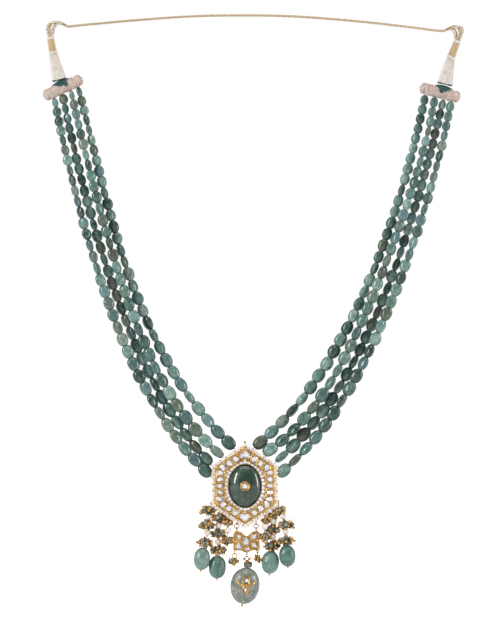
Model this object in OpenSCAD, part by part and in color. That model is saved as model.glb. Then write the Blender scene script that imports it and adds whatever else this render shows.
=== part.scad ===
// Necklace with a polki pendant: eight strings of oval green beads, two thread-wrapped
// end bars, woven tapers and a neck cord, a six-sided gold pendant and hanging drops.
// X is to the right and Z is up as the front is seen, and Y is away from the viewer.
// The origin is the middle of the neck cord at the nape, where the necklace hangs.

/* [Place] */
// Distance from the nape to the plane in which the front hangs
front_depth = 75; // [72:1:78]
// Height of the pendant's middle below the nape
frame_drop = 305.8; // [305:0.1:306.5]

/* [Neck cord, tapers and bars] */
// Diameter of the neck cord
cord_d = 1.6; // [1.2:0.1:1.8]
// Radius of a thread-wrapped end bar
bar_r = 3.5; // [3.2:0.1:3.6]
// Length of the left end bar
bar_left_l = 26.7; // [25:0.1:28]
// Length of the right end bar
bar_right_l = 26; // [25:0.1:28]
// Flatness of the woven tapers, front to back over side to side
taper_flat = 0.66; // [0.5:0.01:1]

/* [Bead strings] */
// Bead width at the end bars
bead_w_top = 5.2; // [4.4:0.1:5.3]
// Bead width at the pendant
bead_w_low = 7.4; // [6:0.1:7.5]
// Bead thickness over bead width
bead_flat = 0.64; // [0.5:0.01:0.8]
// Free length between two beads of a string
bead_gap = 0.35; // [0.2:0.05:0.6]
// Radius of the string through the beads
thread_r = 0.26; // [0.2:0.01:0.28]
// Radius of the hole in a bead
bead_hole_r = 0.42; // [0.4:0.01:0.5]

/* [Pendant frame] */
// Half the width of the frame
frame_hw = 19.05; // [18.8:0.05:19.1]
// Half the height of the frame
frame_hh = 24.7; // [24.4:0.1:24.8]
// Height of its upper corners above the middle
frame_corner = 12.2; // [12:0.1:12.4]
// Half the width of the inner hexagon
inner_hw = 13; // [12.9:0.05:13.1]
// Half the height of the inner hexagon
inner_hh = 17.5; // [17.4:0.1:17.8]
// Height of the inner hexagon's corners above the middle
inner_corner = 8.7; // [8.6:0.1:8.8]
// Thickness of the frame, front to back
frame_t = 6.4; // [6:0.1:6.6]
// Depth of the cells that hold the stones
cell_depth = 1.8; // [1.5:0.1:2]
// Thickness of a cell wall
cell_wall = 0.6; // [0.5:0.05:0.7]
// Diameter of the seed pearls round the frame
seed_pearl_d = 2; // [1.8:0.1:2]

/* [Centre stone] */
// Half the width of the centre stone
centre_hw = 10.5; // [10.3:0.05:10.5]
// Half the height of the centre stone
centre_hh = 13.8; // [13.4:0.1:13.8]
// Height of its dome above the seat
centre_dome = 6.2; // [5:0.1:6.6]
// Radius of the gold collet in its middle
collet_r = 3.2; // [2.8:0.1:3.3]

/* [Plaque and drops] */
// Thickness of the plaque
plaque_t = 2.4; // [2:0.1:2.6]
// Radius of the round wire of the two jump rings
ring_wire_r = 0.3; // [0.25:0.01:0.32]
// Radius of the two jump rings to the middle of their wire
ring_r = 1.45; // [1.4:0.01:1.5]
// Half the width of the main drop
main_hw = 9.4; // [9:0.1:9.4]
// Half the height of the main drop
main_hh = 11.9; // [11.5:0.1:11.9]
// Half the thickness of the main drop
main_ht = 6.6; // [6:0.1:6.8]
// Lean of the main drop, its foot to the left
main_lean = 8.3; // [6:0.1:9]
// Diameter of the pearls on the side drops
pearl_d = 3.5; // [3.2:0.1:3.5]
// Half the width of the carved side drops, from left to right
melon_r = [5.1, 5.5, 5.6, 5.2]; // [4.9:0.1:5.6]

/* [Hidden] */

front_y = -front_depth;
clear = 0.15;

// Route of the neck cord: round numbers from the left collar round the nape to the right one.
CORD_ROUTE = [
    [-124.5, -75, -18.6], [-125.4, -75, -13.5], [-124.2, -74.6, -10], [-120.8, -73.6, -8.8],
    [-117, -71.6, -9.8], [-114.6, -67.6, -11], [-113, -61, -11], [-109.5, -51, -10],
    [-103, -40, -8.6], [-93, -29, -7], [-79, -18.6, -5], [-61, -10, -3], [-41, -4.2, -1.2],
    [-20, -1, -0.2], [0, 0, 0], [21, -1, -0.3], [43, -4.2, -1.6], [64, -10, -3.6],
    [83, -18.6, -6], [98, -29, -8.4], [110, -41, -10.6], [119, -52.6, -12.6],
    [124.6, -62, -13.8], [127.6, -68.6, -14.2], [130.4, -72.4, -12.8], [134.2, -74.2, -11.6],
    [137.2, -75, -13], [137.6, -75, -16.4], [135.9, -75, -21]
];
CORD_SIDES = 8;
bar_end = 0.6;
lashing_hw = 3.9;
lashing_t = 0.8;
lashing_waist = 0.6;
wrap_lead = 0.6;
wrap_foot = 0.9;
CORD_STEPS = 2;

// One row for each end of the necklace: middle of the bar, its slope, its length, foot and
// top of the woven taper, top of the gold wrap, half widths at those three places.
END_BAR = 0; END_SLOPE = 1; END_LENGTH = 2; END_FOOT = 3; END_NECK = 4; END_TOP = 5; END_WIDTHS = 6;
ENDS = [
    [[-116.5, -51], 25.1, bar_left_l, [-118.9, -45.9], [-122.8, -29], [-124.5, -18.9], [4.2, 2.4, 1.8]],
    [[124.8, -54.2], -14.5, bar_right_l, [127.9, -48.6], [131.6, -32.2], [135.8, -21.3], [4.5, 2.4, 1.9]]
];

// One row for each string: beads on it, its side of the middle plane, five places that it
// passes from the bar to the pendant as [x, z], and the place on the frame that holds it.
S_BEADS = 0; S_SIDE = 1; S_PATH = 2; S_ANCHOR = 3;
LEFT_STRINGS = [
    [34, -1, [[-122, -57.9], [-105.9, -128.1], [-79.4, -209.5], [-39.3, -281], [-22.2, -299.6]],
        [-19.3, -302.2]],
    [32, 1, [[-116.8, -55.3], [-98.8, -131.8], [-69.2, -217.2], [-37.1, -274.2], [-22, -292.4]],
        [-19.3, -295]],
    [32, -1, [[-111.4, -53], [-92.4, -130.4], [-65.1, -212.9], [-33, -268.4], [-14.4, -287.2]],
        [-12.1, -289.2]],
    [32, 1, [[-106.9, -50.6], [-85.8, -133.8], [-54, -218.6], [-23.7, -264.3], [-7, -281.8]],
        [-5.2, -284.2]]
];
RIGHT_STRINGS = [
    [32, 1, [[115.5, -55.9], [95.6, -131.6], [61.1, -212.9], [31, -256.9], [5.9, -281.3]],
        [4.1, -283.7]],
    [32, -1, [[121.4, -57.6], [100.9, -133.8], [67.8, -215.7], [35.2, -265.9], [12, -285.5]],
        [10.1, -287.7]],
    [32, 1, [[126.9, -59], [107.2, -133.1], [77.8, -210.6], [38.2, -272.6], [19.8, -290.4]],
        [17.4, -292.6]],
    [33, -1, [[131.8, -60.2], [113.4, -133.1], [84, -210.2], [40.3, -280.7], [20.9, -299.3]],
        [19.3, -301.2]]
];
// How far the strings stand before or behind the middle plane at the bar, half way and below.
STAGGER = [[0, 1.3], [0.3, 2.1], [0.7, 2.6], [1, 1.4]];
string_y_low = front_y + 0.7;
// Share of the even bead pitch at the bar; it grows evenly down the string.
pitch_top = 0.75;
// Share of a string's beads down to the first one of full width.
full_w_at = 0.8;
roll_bias = 2;
anchor_back = 0.4;
CURVE_STEPS = 96;
THREAD_SIDES = 6;
TUBE_SIDES = 8;
tube_share = 0.39;
tube_tip = 3;

frame_stand = 3.6;
frame_front = front_y - frame_stand;
frame_back = frame_front + frame_t;
frame_c = [0, -frame_drop];
well_depth = 2;
well_back = frame_front + well_depth;
slope_cells = 4;
side_cells = 5;
stone_gap = 0.12;
stone_h = 1.7;
stone_girdle = 0.5;
table_share = 0.6;
corner_cut = 0.2;
seat_gap = 0.1;
finial_root = 1.2;
finial_h = 3.6;
finial_r = 0.5;
finial_ball_r = 0.8;
well_lip = 0.06;
ring_inset = 0.2;
ring_low = 0.3;
bezel_gap = 0.15;
bezel_t = 0.45;
OVAL_POINTS = 40;
border_off = 1.25;
border_up = 1.24;
border_corner = 0.53;
border_end = 0.025;
border_y = frame_front + 0.5;
BORDER_SIDES = 8;
hook_y = front_y - 0.4;

// Small hanging plates with a hole, and the rings that run in them.
ear_hole = 0.62;
ear_r = 1.05;
ear_t = 0.7;
stem_w = 1.2;
ring_sag = 0.15;
ring_z = -331.6;
upper_stem = 4.6;
lower_stem = 2.6;
ring_left_x = -5.3;
ring_right_x = 7.1;

// Half of the plaque's outline as [distance from its middle line, height], from notch to tip.
plaque_x = 1;
plaque_pocket = 1.2;
plaque_stone_h = 1.4;
PLAQUE_HALF = [
    [1.4, -337.5], [3.4, -335.6], [6.6, -334.3], [8.2, -335.8], [8.6, -338.4], [8.2, -341.4],
    [8.4, -344.2], [8.7, -346.2], [7.4, -347.3], [5.4, -346.9], [3.2, -347.2], [1.4, -348.2]
];
plaque_notch = -338;
plaque_tip = -348.6;
// Stones of the plaque: middle [x, z], width, height, turn, and how much the top narrows.
P_AT = 0; P_W = 1; P_H = 2; P_TURN = 3; P_NARROW = 4;
PLAQUE_STONES = [
    [[0.8, -341.2], 4.2, 5.2, 0, 0.1],
    [[-4.1, -338.8], 4, 3.2, 184, 0.4],
    [[5.9, -338.2], 3.9, 3.4, 160, 0.35],
    [[-3.8, -344.6], 3.8, 4.2, -20, 0.25],
    [[6.2, -344.1], 3.6, 3, 0, 0.2],
    [[1.3, -346.2], 2.8, 2.5, 0, 0.15],
    [[-6.2, -341.7], 1.4, 1.4, 0, 0],
    [[7.8, -340.8], 1.3, 2.2, 0, 0]
];
STONE_SIDES = 10;

// Link at the plaque's tip: plate, edge-on ring and the bail that swings in it.
tip = [1.2, hook_y, -349.3];
tip_hole = 0.45;
tip_ear_r = 0.85;
tip_ear_t = 0.7;
tip_stem = 1.6;
tip_ring_r = 1.3;
tip_wire_r = 0.24;
bail_wall = 0.65;
bail_hole = 0.9;
bail_t = 0.9;
bail_foot_w = 1;
bail_drop = 0.3;
bail_side = 0.96;
knob_r = 0.75;
knob_out = 0.35;
cap_r = 2.6;
cap_top_r = 0.9;
cap_h = 2;
cap_low = 0.85;
cap_up = 1;
pin_out = 0.8;
pin_ball_r = 0.8;
bore_l = 40;
bail_pivot = tip - [0, 0, tip_ring_r + 0.42];
bail_hole_at = bail_pivot - [0, 0, bail_wall / 2 + bail_hole];

main_c = [0, hook_y, -369.7];
main_bore_r = 0.6;
main_pin_r = 0.4;
inlay_floor = 3;
inlay_stand = 0.6;
inlay_gap = 0.16;

// Corner drops: middle of the ring, middle of the cluster, cluster radius.
corner_ring_r = 1.5;
corner_wire_r = 0.3;
corner_thin = 0.24;
corner_stem = 2.2;
CORNER_LEFT = [[-6.7, -350.6], [-6.7, -354.4], 3.4];
CORNER_RIGHT = [[8, -349.6], [7.8, -353.4], 2.9];

// Side drops: one row for each thing on the wire, from the hook down, as kind, place, radius.
HOOK = 0; CLUSTER = 1; PEARL = 2; STONE_TOP = 3; PIN_END = 4;
D_KIND = 0; D_AT = 1; D_R = 2;
pearl_r = pearl_d / 2;
DROP_A = [
    [HOOK, [-21.2, hook_y, -316.6], 0], [CLUSTER, [-24.7, -76, -321.4], 3.7],
    [PEARL, [-23.2, -76, -325.5], pearl_r], [CLUSTER, [-25.3, -76, -330.8], 4.1],
    [PEARL, [-24.1, -76, -335.9], pearl_r], [CLUSTER, [-25.2, -76, -341.5], 4],
    [STONE_TOP, [-26.8, -76.2, -345.4], melon_r[0]], [PIN_END, [-28.4, -76.2, -360.4], 0.75]
];
DROP_B = [
    [HOOK, [-15.7, hook_y, -322.7], 0], [CLUSTER, [-16.6, -74.8, -326.3], 3.6],
    [PEARL, [-17, -74.6, -331.1], pearl_r], [CLUSTER, [-17.3, -74.6, -336.3], 3.9],
    [PEARL, [-17.3, -74.6, -341.6], pearl_r], [CLUSTER, [-17.3, -74.6, -346.3], 3.9],
    [STONE_TOP, [-17.5, -73.2, -350.6], melon_r[1]], [PIN_END, [-18.1, -72.8, -366], 0.75]
];
DROP_C = [
    [HOOK, [-11.4, hook_y, -325.3], 0], [CLUSTER, [-11.3, hook_y, -328.9], 1.9],
    [PEARL, [-11, hook_y, -334.2], pearl_r], [CLUSTER, [-11.1, hook_y, -340.4], 3.1]
];
DROP_D = [
    [HOOK, [13.1, hook_y, -324.3], 0], [CLUSTER, [13.2, -75.9, -328.2], 2.4],
    [PEARL, [13.3, -77.2, -332], pearl_r],
    [CLUSTER, [13.6, -77.5, -336.8], 2.9]
];
DROP_E = [
    [HOOK, [18, hook_y, -321.2], 0], [CLUSTER, [18.1, -74.8, -324.9], 2.6],
    [PEARL, [18.2, -74, -328.6], pearl_r], [CLUSTER, [18, -73.6, -333.6], 3.2],
    [PEARL, [17.8, -73.6, -338.6], pearl_r], [CLUSTER, [17.9, -73.6, -343.8], 3.8],
    [STONE_TOP, [16.9, -73.6, -347.6], melon_r[2]], [PIN_END, [15.4, -73.6, -362.9], 0.75]
];
DROP_F = [
    [HOOK, [21.2, hook_y, -315.8], 0], [CLUSTER, [23.6, -75.8, -320.8], 3.4],
    [PEARL, [24.2, -75.8, -325.1], pearl_r], [CLUSTER, [26.8, -75.8, -330.3], 4],
    [PEARL, [25.9, -75.8, -335.1], pearl_r], [CLUSTER, [26.1, -75.8, -340.2], 3.9],
    [STONE_TOP, [26.7, -75.8, -343.7], melon_r[3]], [PIN_END, [27.5, -75.8, -358.2], 0.75]
];
HOOKED = [DROP_A, DROP_B, DROP_C, DROP_D, DROP_E, DROP_F];
hook_r = 0.9;
hook_wire_r = 0.22;
hook_hole = 0.5;
hook_ear_r = 0.9;
hook_ear_t = 0.7;
hook_arm = 2.6;
hook_arm_w = 1;
hook_rise = 0.8;
drop_wire_r = 0.25;
drop_knot_r = 0.33;
pearl_lead = 0.25;
rod_roll = 17;
pearl_hole_r = 0.4;
melon_hole_r = 0.45;
cluster_h = 0.6;
cluster_least = 1;
cluster_top = 0.5;
cluster_rim = 0.3;

GOLD = [0.83, 0.62, 0.25];
EMERALD = [0.25, 0.42, 0.35];
POLKI = [0.86, 0.87, 0.86];
PEARL_WHITE = [0.93, 0.89, 0.85];
THREAD_GREEN = [0.1, 0.25, 0.14];
ZARI = [0.72, 0.55, 0.42];
WOVEN = [0.85, 0.78, 0.6];

function mix(a, b, t) = a + (b - a) * t;
function unit(v) = v / norm(v);
function place(xz, y) = [xz[0], y, xz[1]];
function product(v, i = 0) = i >= len(v) ? 1 : v[i] * product(v, i + 1);
function chance(i, j) = let (s = sin(i * 78.233 + j * 12.9898) * 43758.5453) s - floor(s);

// Smooth curve through a few places: times are shares of the straight distance.
function distances(p) = [for (i = 0, s = 0; i < len(p);
    s = s + (i + 1 < len(p) ? norm(p[i + 1] - p[i]) : 0), i = i + 1) s];
function times(p) = let (d = distances(p)) d / d[len(d) - 1];
function share(t, at, i) = product([for (j = [0:len(t) - 1]) j == i ? 1 : (at - t[j]) / (t[i] - t[j])]);
function curve_at(p, t, at) = let (w = [for (i = [0:len(p) - 1]) share(t, at, i)])
    [w * [for (q = p) q[0]], w * [for (q = p) q[1]]];

// A string's middle line in space, and places at even steps of bead pitch along it.
function string_line(row) = let (p = row[S_PATH], t = times(p))
    [for (k = [0:CURVE_STEPS]) let (at = k / CURVE_STEPS)
        place(curve_at(p, t, at), mix(front_y, string_y_low, at) + row[S_SIDE] * lookup(at, STAGGER))];
function pitch_share(u) = pitch_top * u + (1 - pitch_top) * u * u;
function string_knots(row) = let (line = string_line(row), d = distances(line), n = row[S_BEADS],
    all = d[len(d) - 1]) [for (i = [0:n]) let (s = all * pitch_share(i / n))
        [for (c = [0:2]) lookup(s, [for (k = [0:len(d) - 1]) [d[k], line[k][c]]])]];
function bead_w(i, n) = mix(bead_w_top, bead_w_low, min(1, i / (n * full_w_at)));
// Most beads lie flat to the front, and a few stand on edge.
function bead_roll(i, number) = let (s = 2 * chance(i, number) - 1) 90 * sign(s) * pow(abs(s), roll_bias);
function anchor_end(row, knots) = let (last = knots[len(knots) - 1], a = place(row[S_ANCHOR], last[1]))
    a - unit(a - last) * anchor_back;

// Rounded run through the cord's points.
function bend(p, i, u) = let (a = p[max(i - 1, 0)], b = p[i], c = p[i + 1], d = p[min(i + 2, len(p) - 1)])
    0.5 * (2 * b + (c - a) * u + (2 * a - 5 * b + 4 * c - d) * u * u + (3 * b - a - 3 * c + d) * u * u * u);
function smooth(p, steps) = concat([for (i = [0:len(p) - 2]) for (k = [0:steps - 1]) bend(p, i, k / steps)],
    [p[len(p) - 1]]);

// Directions along a run of points, and a side direction carried along without twist.
function headings(p) = [for (i = [0:len(p) - 1]) unit(p[min(i + 1, len(p) - 1)] - p[max(i - 1, 0)])];
function carry(u, t) = unit(u - t * (u * t));
function sideways(t, start) = [for (i = 0, u = carry(start, t[0]); i < len(t);
    i = i + 1, u = i < len(t) ? carry(u, t[i]) : u) u];

// Closed skin over rings of equally many points, each counterclockwise about the way onward.
module skin(rings, closed = false) {
    s = len(rings[0]);
    n = len(rings);
    last = closed ? n - 1 : n - 2;
    sides = [for (i = [0:last]) for (k = [0:s - 1]) let (j = (i + 1) % n, m = (k + 1) % s)
        [i * s + k, j * s + k, j * s + m, i * s + m]];
    caps = closed ? [] : [[for (k = [0:s - 1]) k], [for (k = [s - 1:-1:0]) (n - 1) * s + k]];
    polyhedron([for (r = rings) for (q = r) q], concat(sides, caps));
}

// Tube along a run of points; r is one radius or a list of them.
module tube(p, r, sides) {
    t = headings(p);
    u = sideways(t, [0, 1, 0]);
    skin([for (i = [0:len(p) - 1]) let (v = cross(t[i], u[i]), q = is_list(r) ? r[i] : r)
        [for (k = [0:sides - 1]) let (a = 360 * k / sides) p[i] + q * (cos(a) * u[i] + sin(a) * v)]]);
}

// Children stand at a with their z axis towards b.
module along(a, b, roll = 0) {
    d = b - a;
    translate(a) rotate([0, acos(d[2] / norm(d)), atan2(d[1], d[0])]) rotate([0, 0, roll]) children();
}

module rod(a, b, r) { along(a, b, rod_roll) cylinder(h = norm(b - a), r = r, $fn = 20); }

module cone(a, b, ra, rb) { along(a, b) cylinder(h = norm(b - a), r1 = ra, r2 = rb, $fn = 64); }

// Flat shape of the front view, thick from y_back towards the viewer.
module slab(y_back, thick) { translate([0, y_back, 0]) rotate([90, 0, 0]) linear_extrude(thick) children(); }

module ring_front(at, big, wire) {
    translate(at) rotate([90, 0, 0]) rotate_extrude($fn = 40) translate([big, 0]) circle(r = wire, $fn = 20);
}

module ring_edge(at, big, wire) {
    translate(at) rotate([0, 90, 0]) rotate_extrude($fn = 40) translate([big, 0]) circle(r = wire, $fn = 20);
}

// Flat cut stone: outline in the front view, seat, height; girdle, sloping facets and table.
module cut_stone(outline, y_seat, height) {
    n = len(outline);
    c = [for (k = [0:1]) [for (q = outline) q[k]] * [for (q = outline) 1 / n]];
    skin([
        [for (q = outline) place(q, y_seat)],
        [for (q = outline) place(q, y_seat - stone_girdle)],
        [for (q = outline) place(mix(c, q, table_share), y_seat - height)]
    ]);
}

// Outline of a rounded stone: narrow is 0 for an oval and near 0.6 for a drop with its point up.
function pebble(at, w, h, turn, narrow, n = STONE_SIDES) = [for (k = [0:n - 1]) let (
    a = 360 * (k + 0.5) / n, x = w / 2 * cos(a) * (1 - narrow * sin(a)), z = h / 2 * sin(a))
    at + [x * cos(turn) - z * sin(turn), x * sin(turn) + z * cos(turn)]];

function oval(at, w, h, n = OVAL_POINTS) = [for (k = [0:n - 1]) let (a = 360 * k / n)
    at + [w / 2 * cos(a), h / 2 * sin(a)]];

function hexagon(hw, hh, corner) = [for (q = [[hw, -corner], [hw, corner], [0, hh], [-hw, corner],
    [-hw, -corner], [0, -hh]]) frame_c + q];

// Place in the band between two hexagons: u along edge e, v from the outer to the inner one.
function band_at(e, u, v) = let (o = hexagon(frame_hw, frame_hh, frame_corner),
    i = hexagon(inner_hw, inner_hh, inner_corner), f = (e + 1) % 6)
    mix(mix(o[e], o[f], u), mix(i[e], i[f], u), v);
function cell_count(e) = e == 0 || e == 3 ? side_cells : slope_cells;
function band_cell(e, k, gap) = let (n = cell_count(e), w = frame_hw - inner_hw,
    long = norm(band_at(e, 1, 0.5) - band_at(e, 0, 0.5)), du = (cell_wall / 2 + gap) / long,
    dv = (cell_wall + gap) / w) [
        band_at(e, k / n + du, dv), band_at(e, (k + 1) / n - du, dv),
        band_at(e, (k + 1) / n - du, 1 - dv), band_at(e, k / n + du, 1 - dv)];
function chop(quad, part) = [for (i = [0:3]) for (q = [part, 1 - part]) mix(quad[i], quad[(i + 1) % 4], q)];

// End bars, lashings, tapers and wraps.
function bar_point(row, u, y = front_y) =
    place(row[END_BAR] + u * [cos(row[END_SLOPE]), sin(row[END_SLOPE])], y);

module bar_solid(row, r, l) {
    half = l / 2;
    along(bar_point(row, -half), bar_point(row, half)) rotate_extrude($fn = 40) difference() {
        union() {
            translate([0, r * bar_end]) square([r, l - 2 * bar_end * r]);
            for (z = [r * bar_end, l - r * bar_end]) translate([0, z]) scale([1, bar_end])
                circle(r = r, $fn = 48);
        }
        translate([-2 * r, -1]) square([2 * r, l + 2]);
    }
}

module end_bar(row) { color(ZARI) bar_solid(row, bar_r, row[END_LENGTH]); }

// The taper's line runs on to the bar's axis; u is where it meets, measured from the bar's middle.
function lashing_u(row) = let (f = row[END_FOOT] - row[END_BAR], d = row[END_NECK] - row[END_FOOT],
    b = [cos(row[END_SLOPE]), sin(row[END_SLOPE])]) (f[0] * d[1] - f[1] * d[0]) / (b[0] * d[1] - b[1] * d[0]);

module lashing(row) {
    u = lashing_u(row);
    wide = lashing_hw;
    under = bore_l / 2;
    foot = place(row[END_FOOT], front_y);
    color(THREAD_GREEN) difference() {
        union() {
            along(bar_point(row, u - wide), bar_point(row, u + wide))
                cylinder(r = bar_r + lashing_t, h = 2 * wide, $fn = 40);
            along(bar_point(row, u), foot) cylinder(
                r = row[END_WIDTHS][0] - lashing_waist, h = norm(foot - bar_point(row, u)) - clear, $fn = 40);
        }
        along(bar_point(row, u - 2 * wide), bar_point(row, u + 2 * wide))
            cylinder(r = bar_r + 0.1, h = 4 * wide, $fn = 40);
        translate(bar_point(row, u)) rotate([0, -row[END_SLOPE], 0])
            translate([-under / 2, -under / 2, -under - lashing_t]) cube(under);
    }
}

module woven_taper(row) {
    w = row[END_WIDTHS];
    foot = place(row[END_FOOT], front_y);
    neck = place(row[END_NECK], front_y);
    color(WOVEN) translate([0, front_y, 0]) scale([1, taper_flat, 1]) translate([0, -front_y, 0])
        cone(foot, neck, w[0], w[1]);
}

module gold_wrap(row) {
    w = row[END_WIDTHS];
    neck = place(row[END_NECK], front_y);
    top = place(row[END_TOP], front_y);
    up = unit(top - neck);
    color(GOLD) cone(neck + up * wrap_lead, top, w[1] * wrap_foot, w[2]);
}

// Neck cord: one swept tube.
module neck_cord() { color(GOLD) tube(smooth(CORD_ROUTE, CORD_STEPS), cord_d / 2, CORD_SIDES); }

// Bead strings: flattened oval beads, drilled along the string, each rolled its own way.
module bead(a, b, w, roll) {
    l = norm(b - a) - bead_gap;
    along((a + b) / 2, b, roll) scale([1, bead_flat, 1]) difference() {
        scale([w / l, w / l, 1]) sphere(d = l, $fn = 24);
        cylinder(r = bead_hole_r / bead_flat, h = 2 * l, center = true, $fn = 20);
    }
}

module bead_string(row, number) {
    knots = string_knots(row);
    n = row[S_BEADS];
    color(EMERALD) for (i = [0:n - 1]) bead(knots[i], knots[i + 1], bead_w(i, n), bead_roll(i, number));
}

// The outer strings are plain tubes that hold the place of their beads.
module string_tube(row) {
    knots = string_knots(row);
    n = row[S_BEADS];
    last = anchor_end(row, knots);
    radii = [for (i = [0:n]) i == 0 || i == n ? thread_r * tube_tip : tube_share * bead_w(i, n)];
    color(EMERALD) tube(concat(knots, [last]), concat(radii, [thread_r]), TUBE_SIDES);
}

module thread(row) {
    knots = string_knots(row);
    color(THREAD_GREEN) tube(concat(knots, [anchor_end(row, knots)]), thread_r, THREAD_SIDES);
}

// Pendant frame: six-sided gold box with cells, an inner well, an oval bezel and hanging plates.
module hook_plate(at) {
    inward = unit([at[0] > 0 ? -1 : 1, abs(at[0]) < frame_hw ? hook_rise : 0]);
    root = [at[0], at[2]] + inward * hook_arm;
    side = [-inward[1], inward[0]] * hook_arm_w / 2;
    slab(at[1] + hook_ear_t / 2, hook_ear_t) difference() {
        union() {
            translate([at[0], at[2]]) circle(r = hook_ear_r, $fn = 30);
            polygon([[at[0], at[2]] + side, root + side, root - side, [at[0], at[2]] - side]);
        }
        translate([at[0], at[2]]) circle(r = hook_hole, $fn = 30);
    }
}

// Plate seen edge on, with its hole along X, on a stem that goes up (1) or down (-1).
module edge_plate(at, up, stem) {
    translate([at[0] - ear_t / 2, 0, 0]) difference() {
        union() {
            translate([0, at[1], at[2]]) rotate([0, 90, 0]) cylinder(r = ear_r, h = ear_t, $fn = 40);
            translate([0, at[1] - stem_w / 2, up > 0 ? at[2] : at[2] - stem]) cube([ear_t, stem_w, stem]);
        }
        translate([-1, at[1], at[2]]) rotate([0, 90, 0]) cylinder(r = ear_hole, h = ear_t + 2, $fn = 40);
    }
}

module finial() {
    base = place(frame_c + [0, frame_hh - finial_root], hook_y);
    rod(base, base + [0, 0, finial_h], finial_r);
    translate(base + [0, 0, finial_h + finial_ball_r]) sphere(r = finial_ball_r, $fn = 24);
}

module frame() {
    upper_plate_z = ring_z + ring_r + ring_sag;
    rim = bezel_gap + bezel_t;
    color(GOLD) union() {
        difference() {
            slab(frame_back, frame_t) polygon(hexagon(frame_hw, frame_hh, frame_corner));
            slab(frame_front + well_depth, well_depth + 1) polygon(hexagon(
                inner_hw - well_lip, inner_hh - well_lip, inner_corner));
            for (e = [0:5]) for (k = [0:cell_count(e) - 1])
                slab(frame_front + cell_depth, cell_depth + 1) polygon(band_cell(e, k, 0));
        }
        slab(well_back, well_depth) difference() {
            polygon(oval(frame_c, 2 * (centre_hw + rim), 2 * (centre_hh + rim)));
            polygon(oval(frame_c, 2 * (centre_hw + bezel_gap), 2 * (centre_hh + bezel_gap)));
        }
        finial();
        for (row = HOOKED) hook_plate(row[0][D_AT]);
        for (x = [ring_left_x, ring_right_x]) edge_plate([x, hook_y, upper_plate_z], 1, upper_stem);
    }
}

module frame_polki() {
    color(POLKI) for (e = [0:5]) for (k = [0:cell_count(e) - 1])
        cut_stone(chop(band_cell(e, k, stone_gap), corner_cut), frame_front + cell_depth - seat_gap, stone_h);
}

module ring_polki() {
    hole = bezel_gap + bezel_t + seat_gap;
    color(POLKI) slab(well_back - seat_gap, well_depth - ring_low) difference() {
        polygon(hexagon(inner_hw - ring_inset, inner_hh - ring_inset * border_up,
            inner_corner - ring_inset * border_corner));
        polygon(oval(frame_c, 2 * (centre_hw + hole), 2 * (centre_hh + hole)));
    }
}

// Seed pearls round the frame, as one closed tube.
module pearl_border() {
    h = hexagon(frame_hw + border_off, frame_hh + border_off * border_up,
        frame_corner + border_off * border_corner);
    run = [for (e = [0:5]) for (u = [border_end, 1 - border_end]) mix(h[e], h[(e + 1) % 6], u)];
    n = len(run);
    r = seed_pearl_d / 2;
    color(PEARL_WHITE) skin([for (i = [0:n - 1]) let (
        t = unit(run[(i + 1) % n] - run[(i + n - 1) % n]), out = [t[1], -t[0]])
        [for (k = [0:BORDER_SIDES - 1]) let (a = 360 * (k + 0.5) / BORDER_SIDES)
            place(run[i] + out * r * cos(a), border_y + r * sin(a))]], closed = true);
}

// Half dome on a flat back, its middle at the given place.
module cabochon(at, half) {
    difference() {
        translate(at) scale(half) sphere(r = 1, $fn = 96);
        translate(at + [-2 * half[0], 0, -2 * half[2]]) cube([4 * half[0], 4 * half[1], 4 * half[2]]);
    }
}

centre_at = place(frame_c, well_back - seat_gap);
recess_depth = 1.6;
collet_back = centre_at[1] - centre_dome + recess_depth - seat_gap;
collet_t = 2.5;
collet_wall = 0.75;
collet_pocket = 1.2;
collet_stone_h = 1.6;
COLLET_SIDES = 12;

module centre_emerald() {
    color(EMERALD) difference() {
        cabochon(centre_at, [centre_hw, centre_dome, centre_hh]);
        translate(centre_at - [0, centre_dome - recess_depth, 0]) rotate([90, 0, 0]) rotate([0, 0, rod_roll])
            cylinder(r = collet_r + 0.1, h = 10, $fn = 48);
    }
}

module centre_collet() {
    color(GOLD) difference() {
        slab(collet_back, collet_t) translate(frame_c) circle(r = collet_r, $fn = 48);
        slab(collet_back - collet_t + collet_pocket + seat_gap, 2 * collet_pocket) translate(frame_c)
            circle(r = collet_r - collet_wall, $fn = 48);
    }
}

module centre_polki() {
    d = 2 * (collet_r - collet_wall - clear);
    color(POLKI) cut_stone(pebble(frame_c, d, d, 0, 0, COLLET_SIDES), collet_back - collet_t + collet_pocket,
        collet_stone_h);
}

// Plaque: closed-set stones in a winged gold plate that hangs on the two jump rings.
function plaque_outline() = concat(
    [[plaque_x, plaque_notch]],
    [for (q = PLAQUE_HALF) [plaque_x - q[0], q[1]]],
    [[plaque_x, plaque_tip]],
    [for (i = [len(PLAQUE_HALF) - 1:-1:0]) [plaque_x + PLAQUE_HALF[i][0], PLAQUE_HALF[i][1]]]
);

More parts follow.
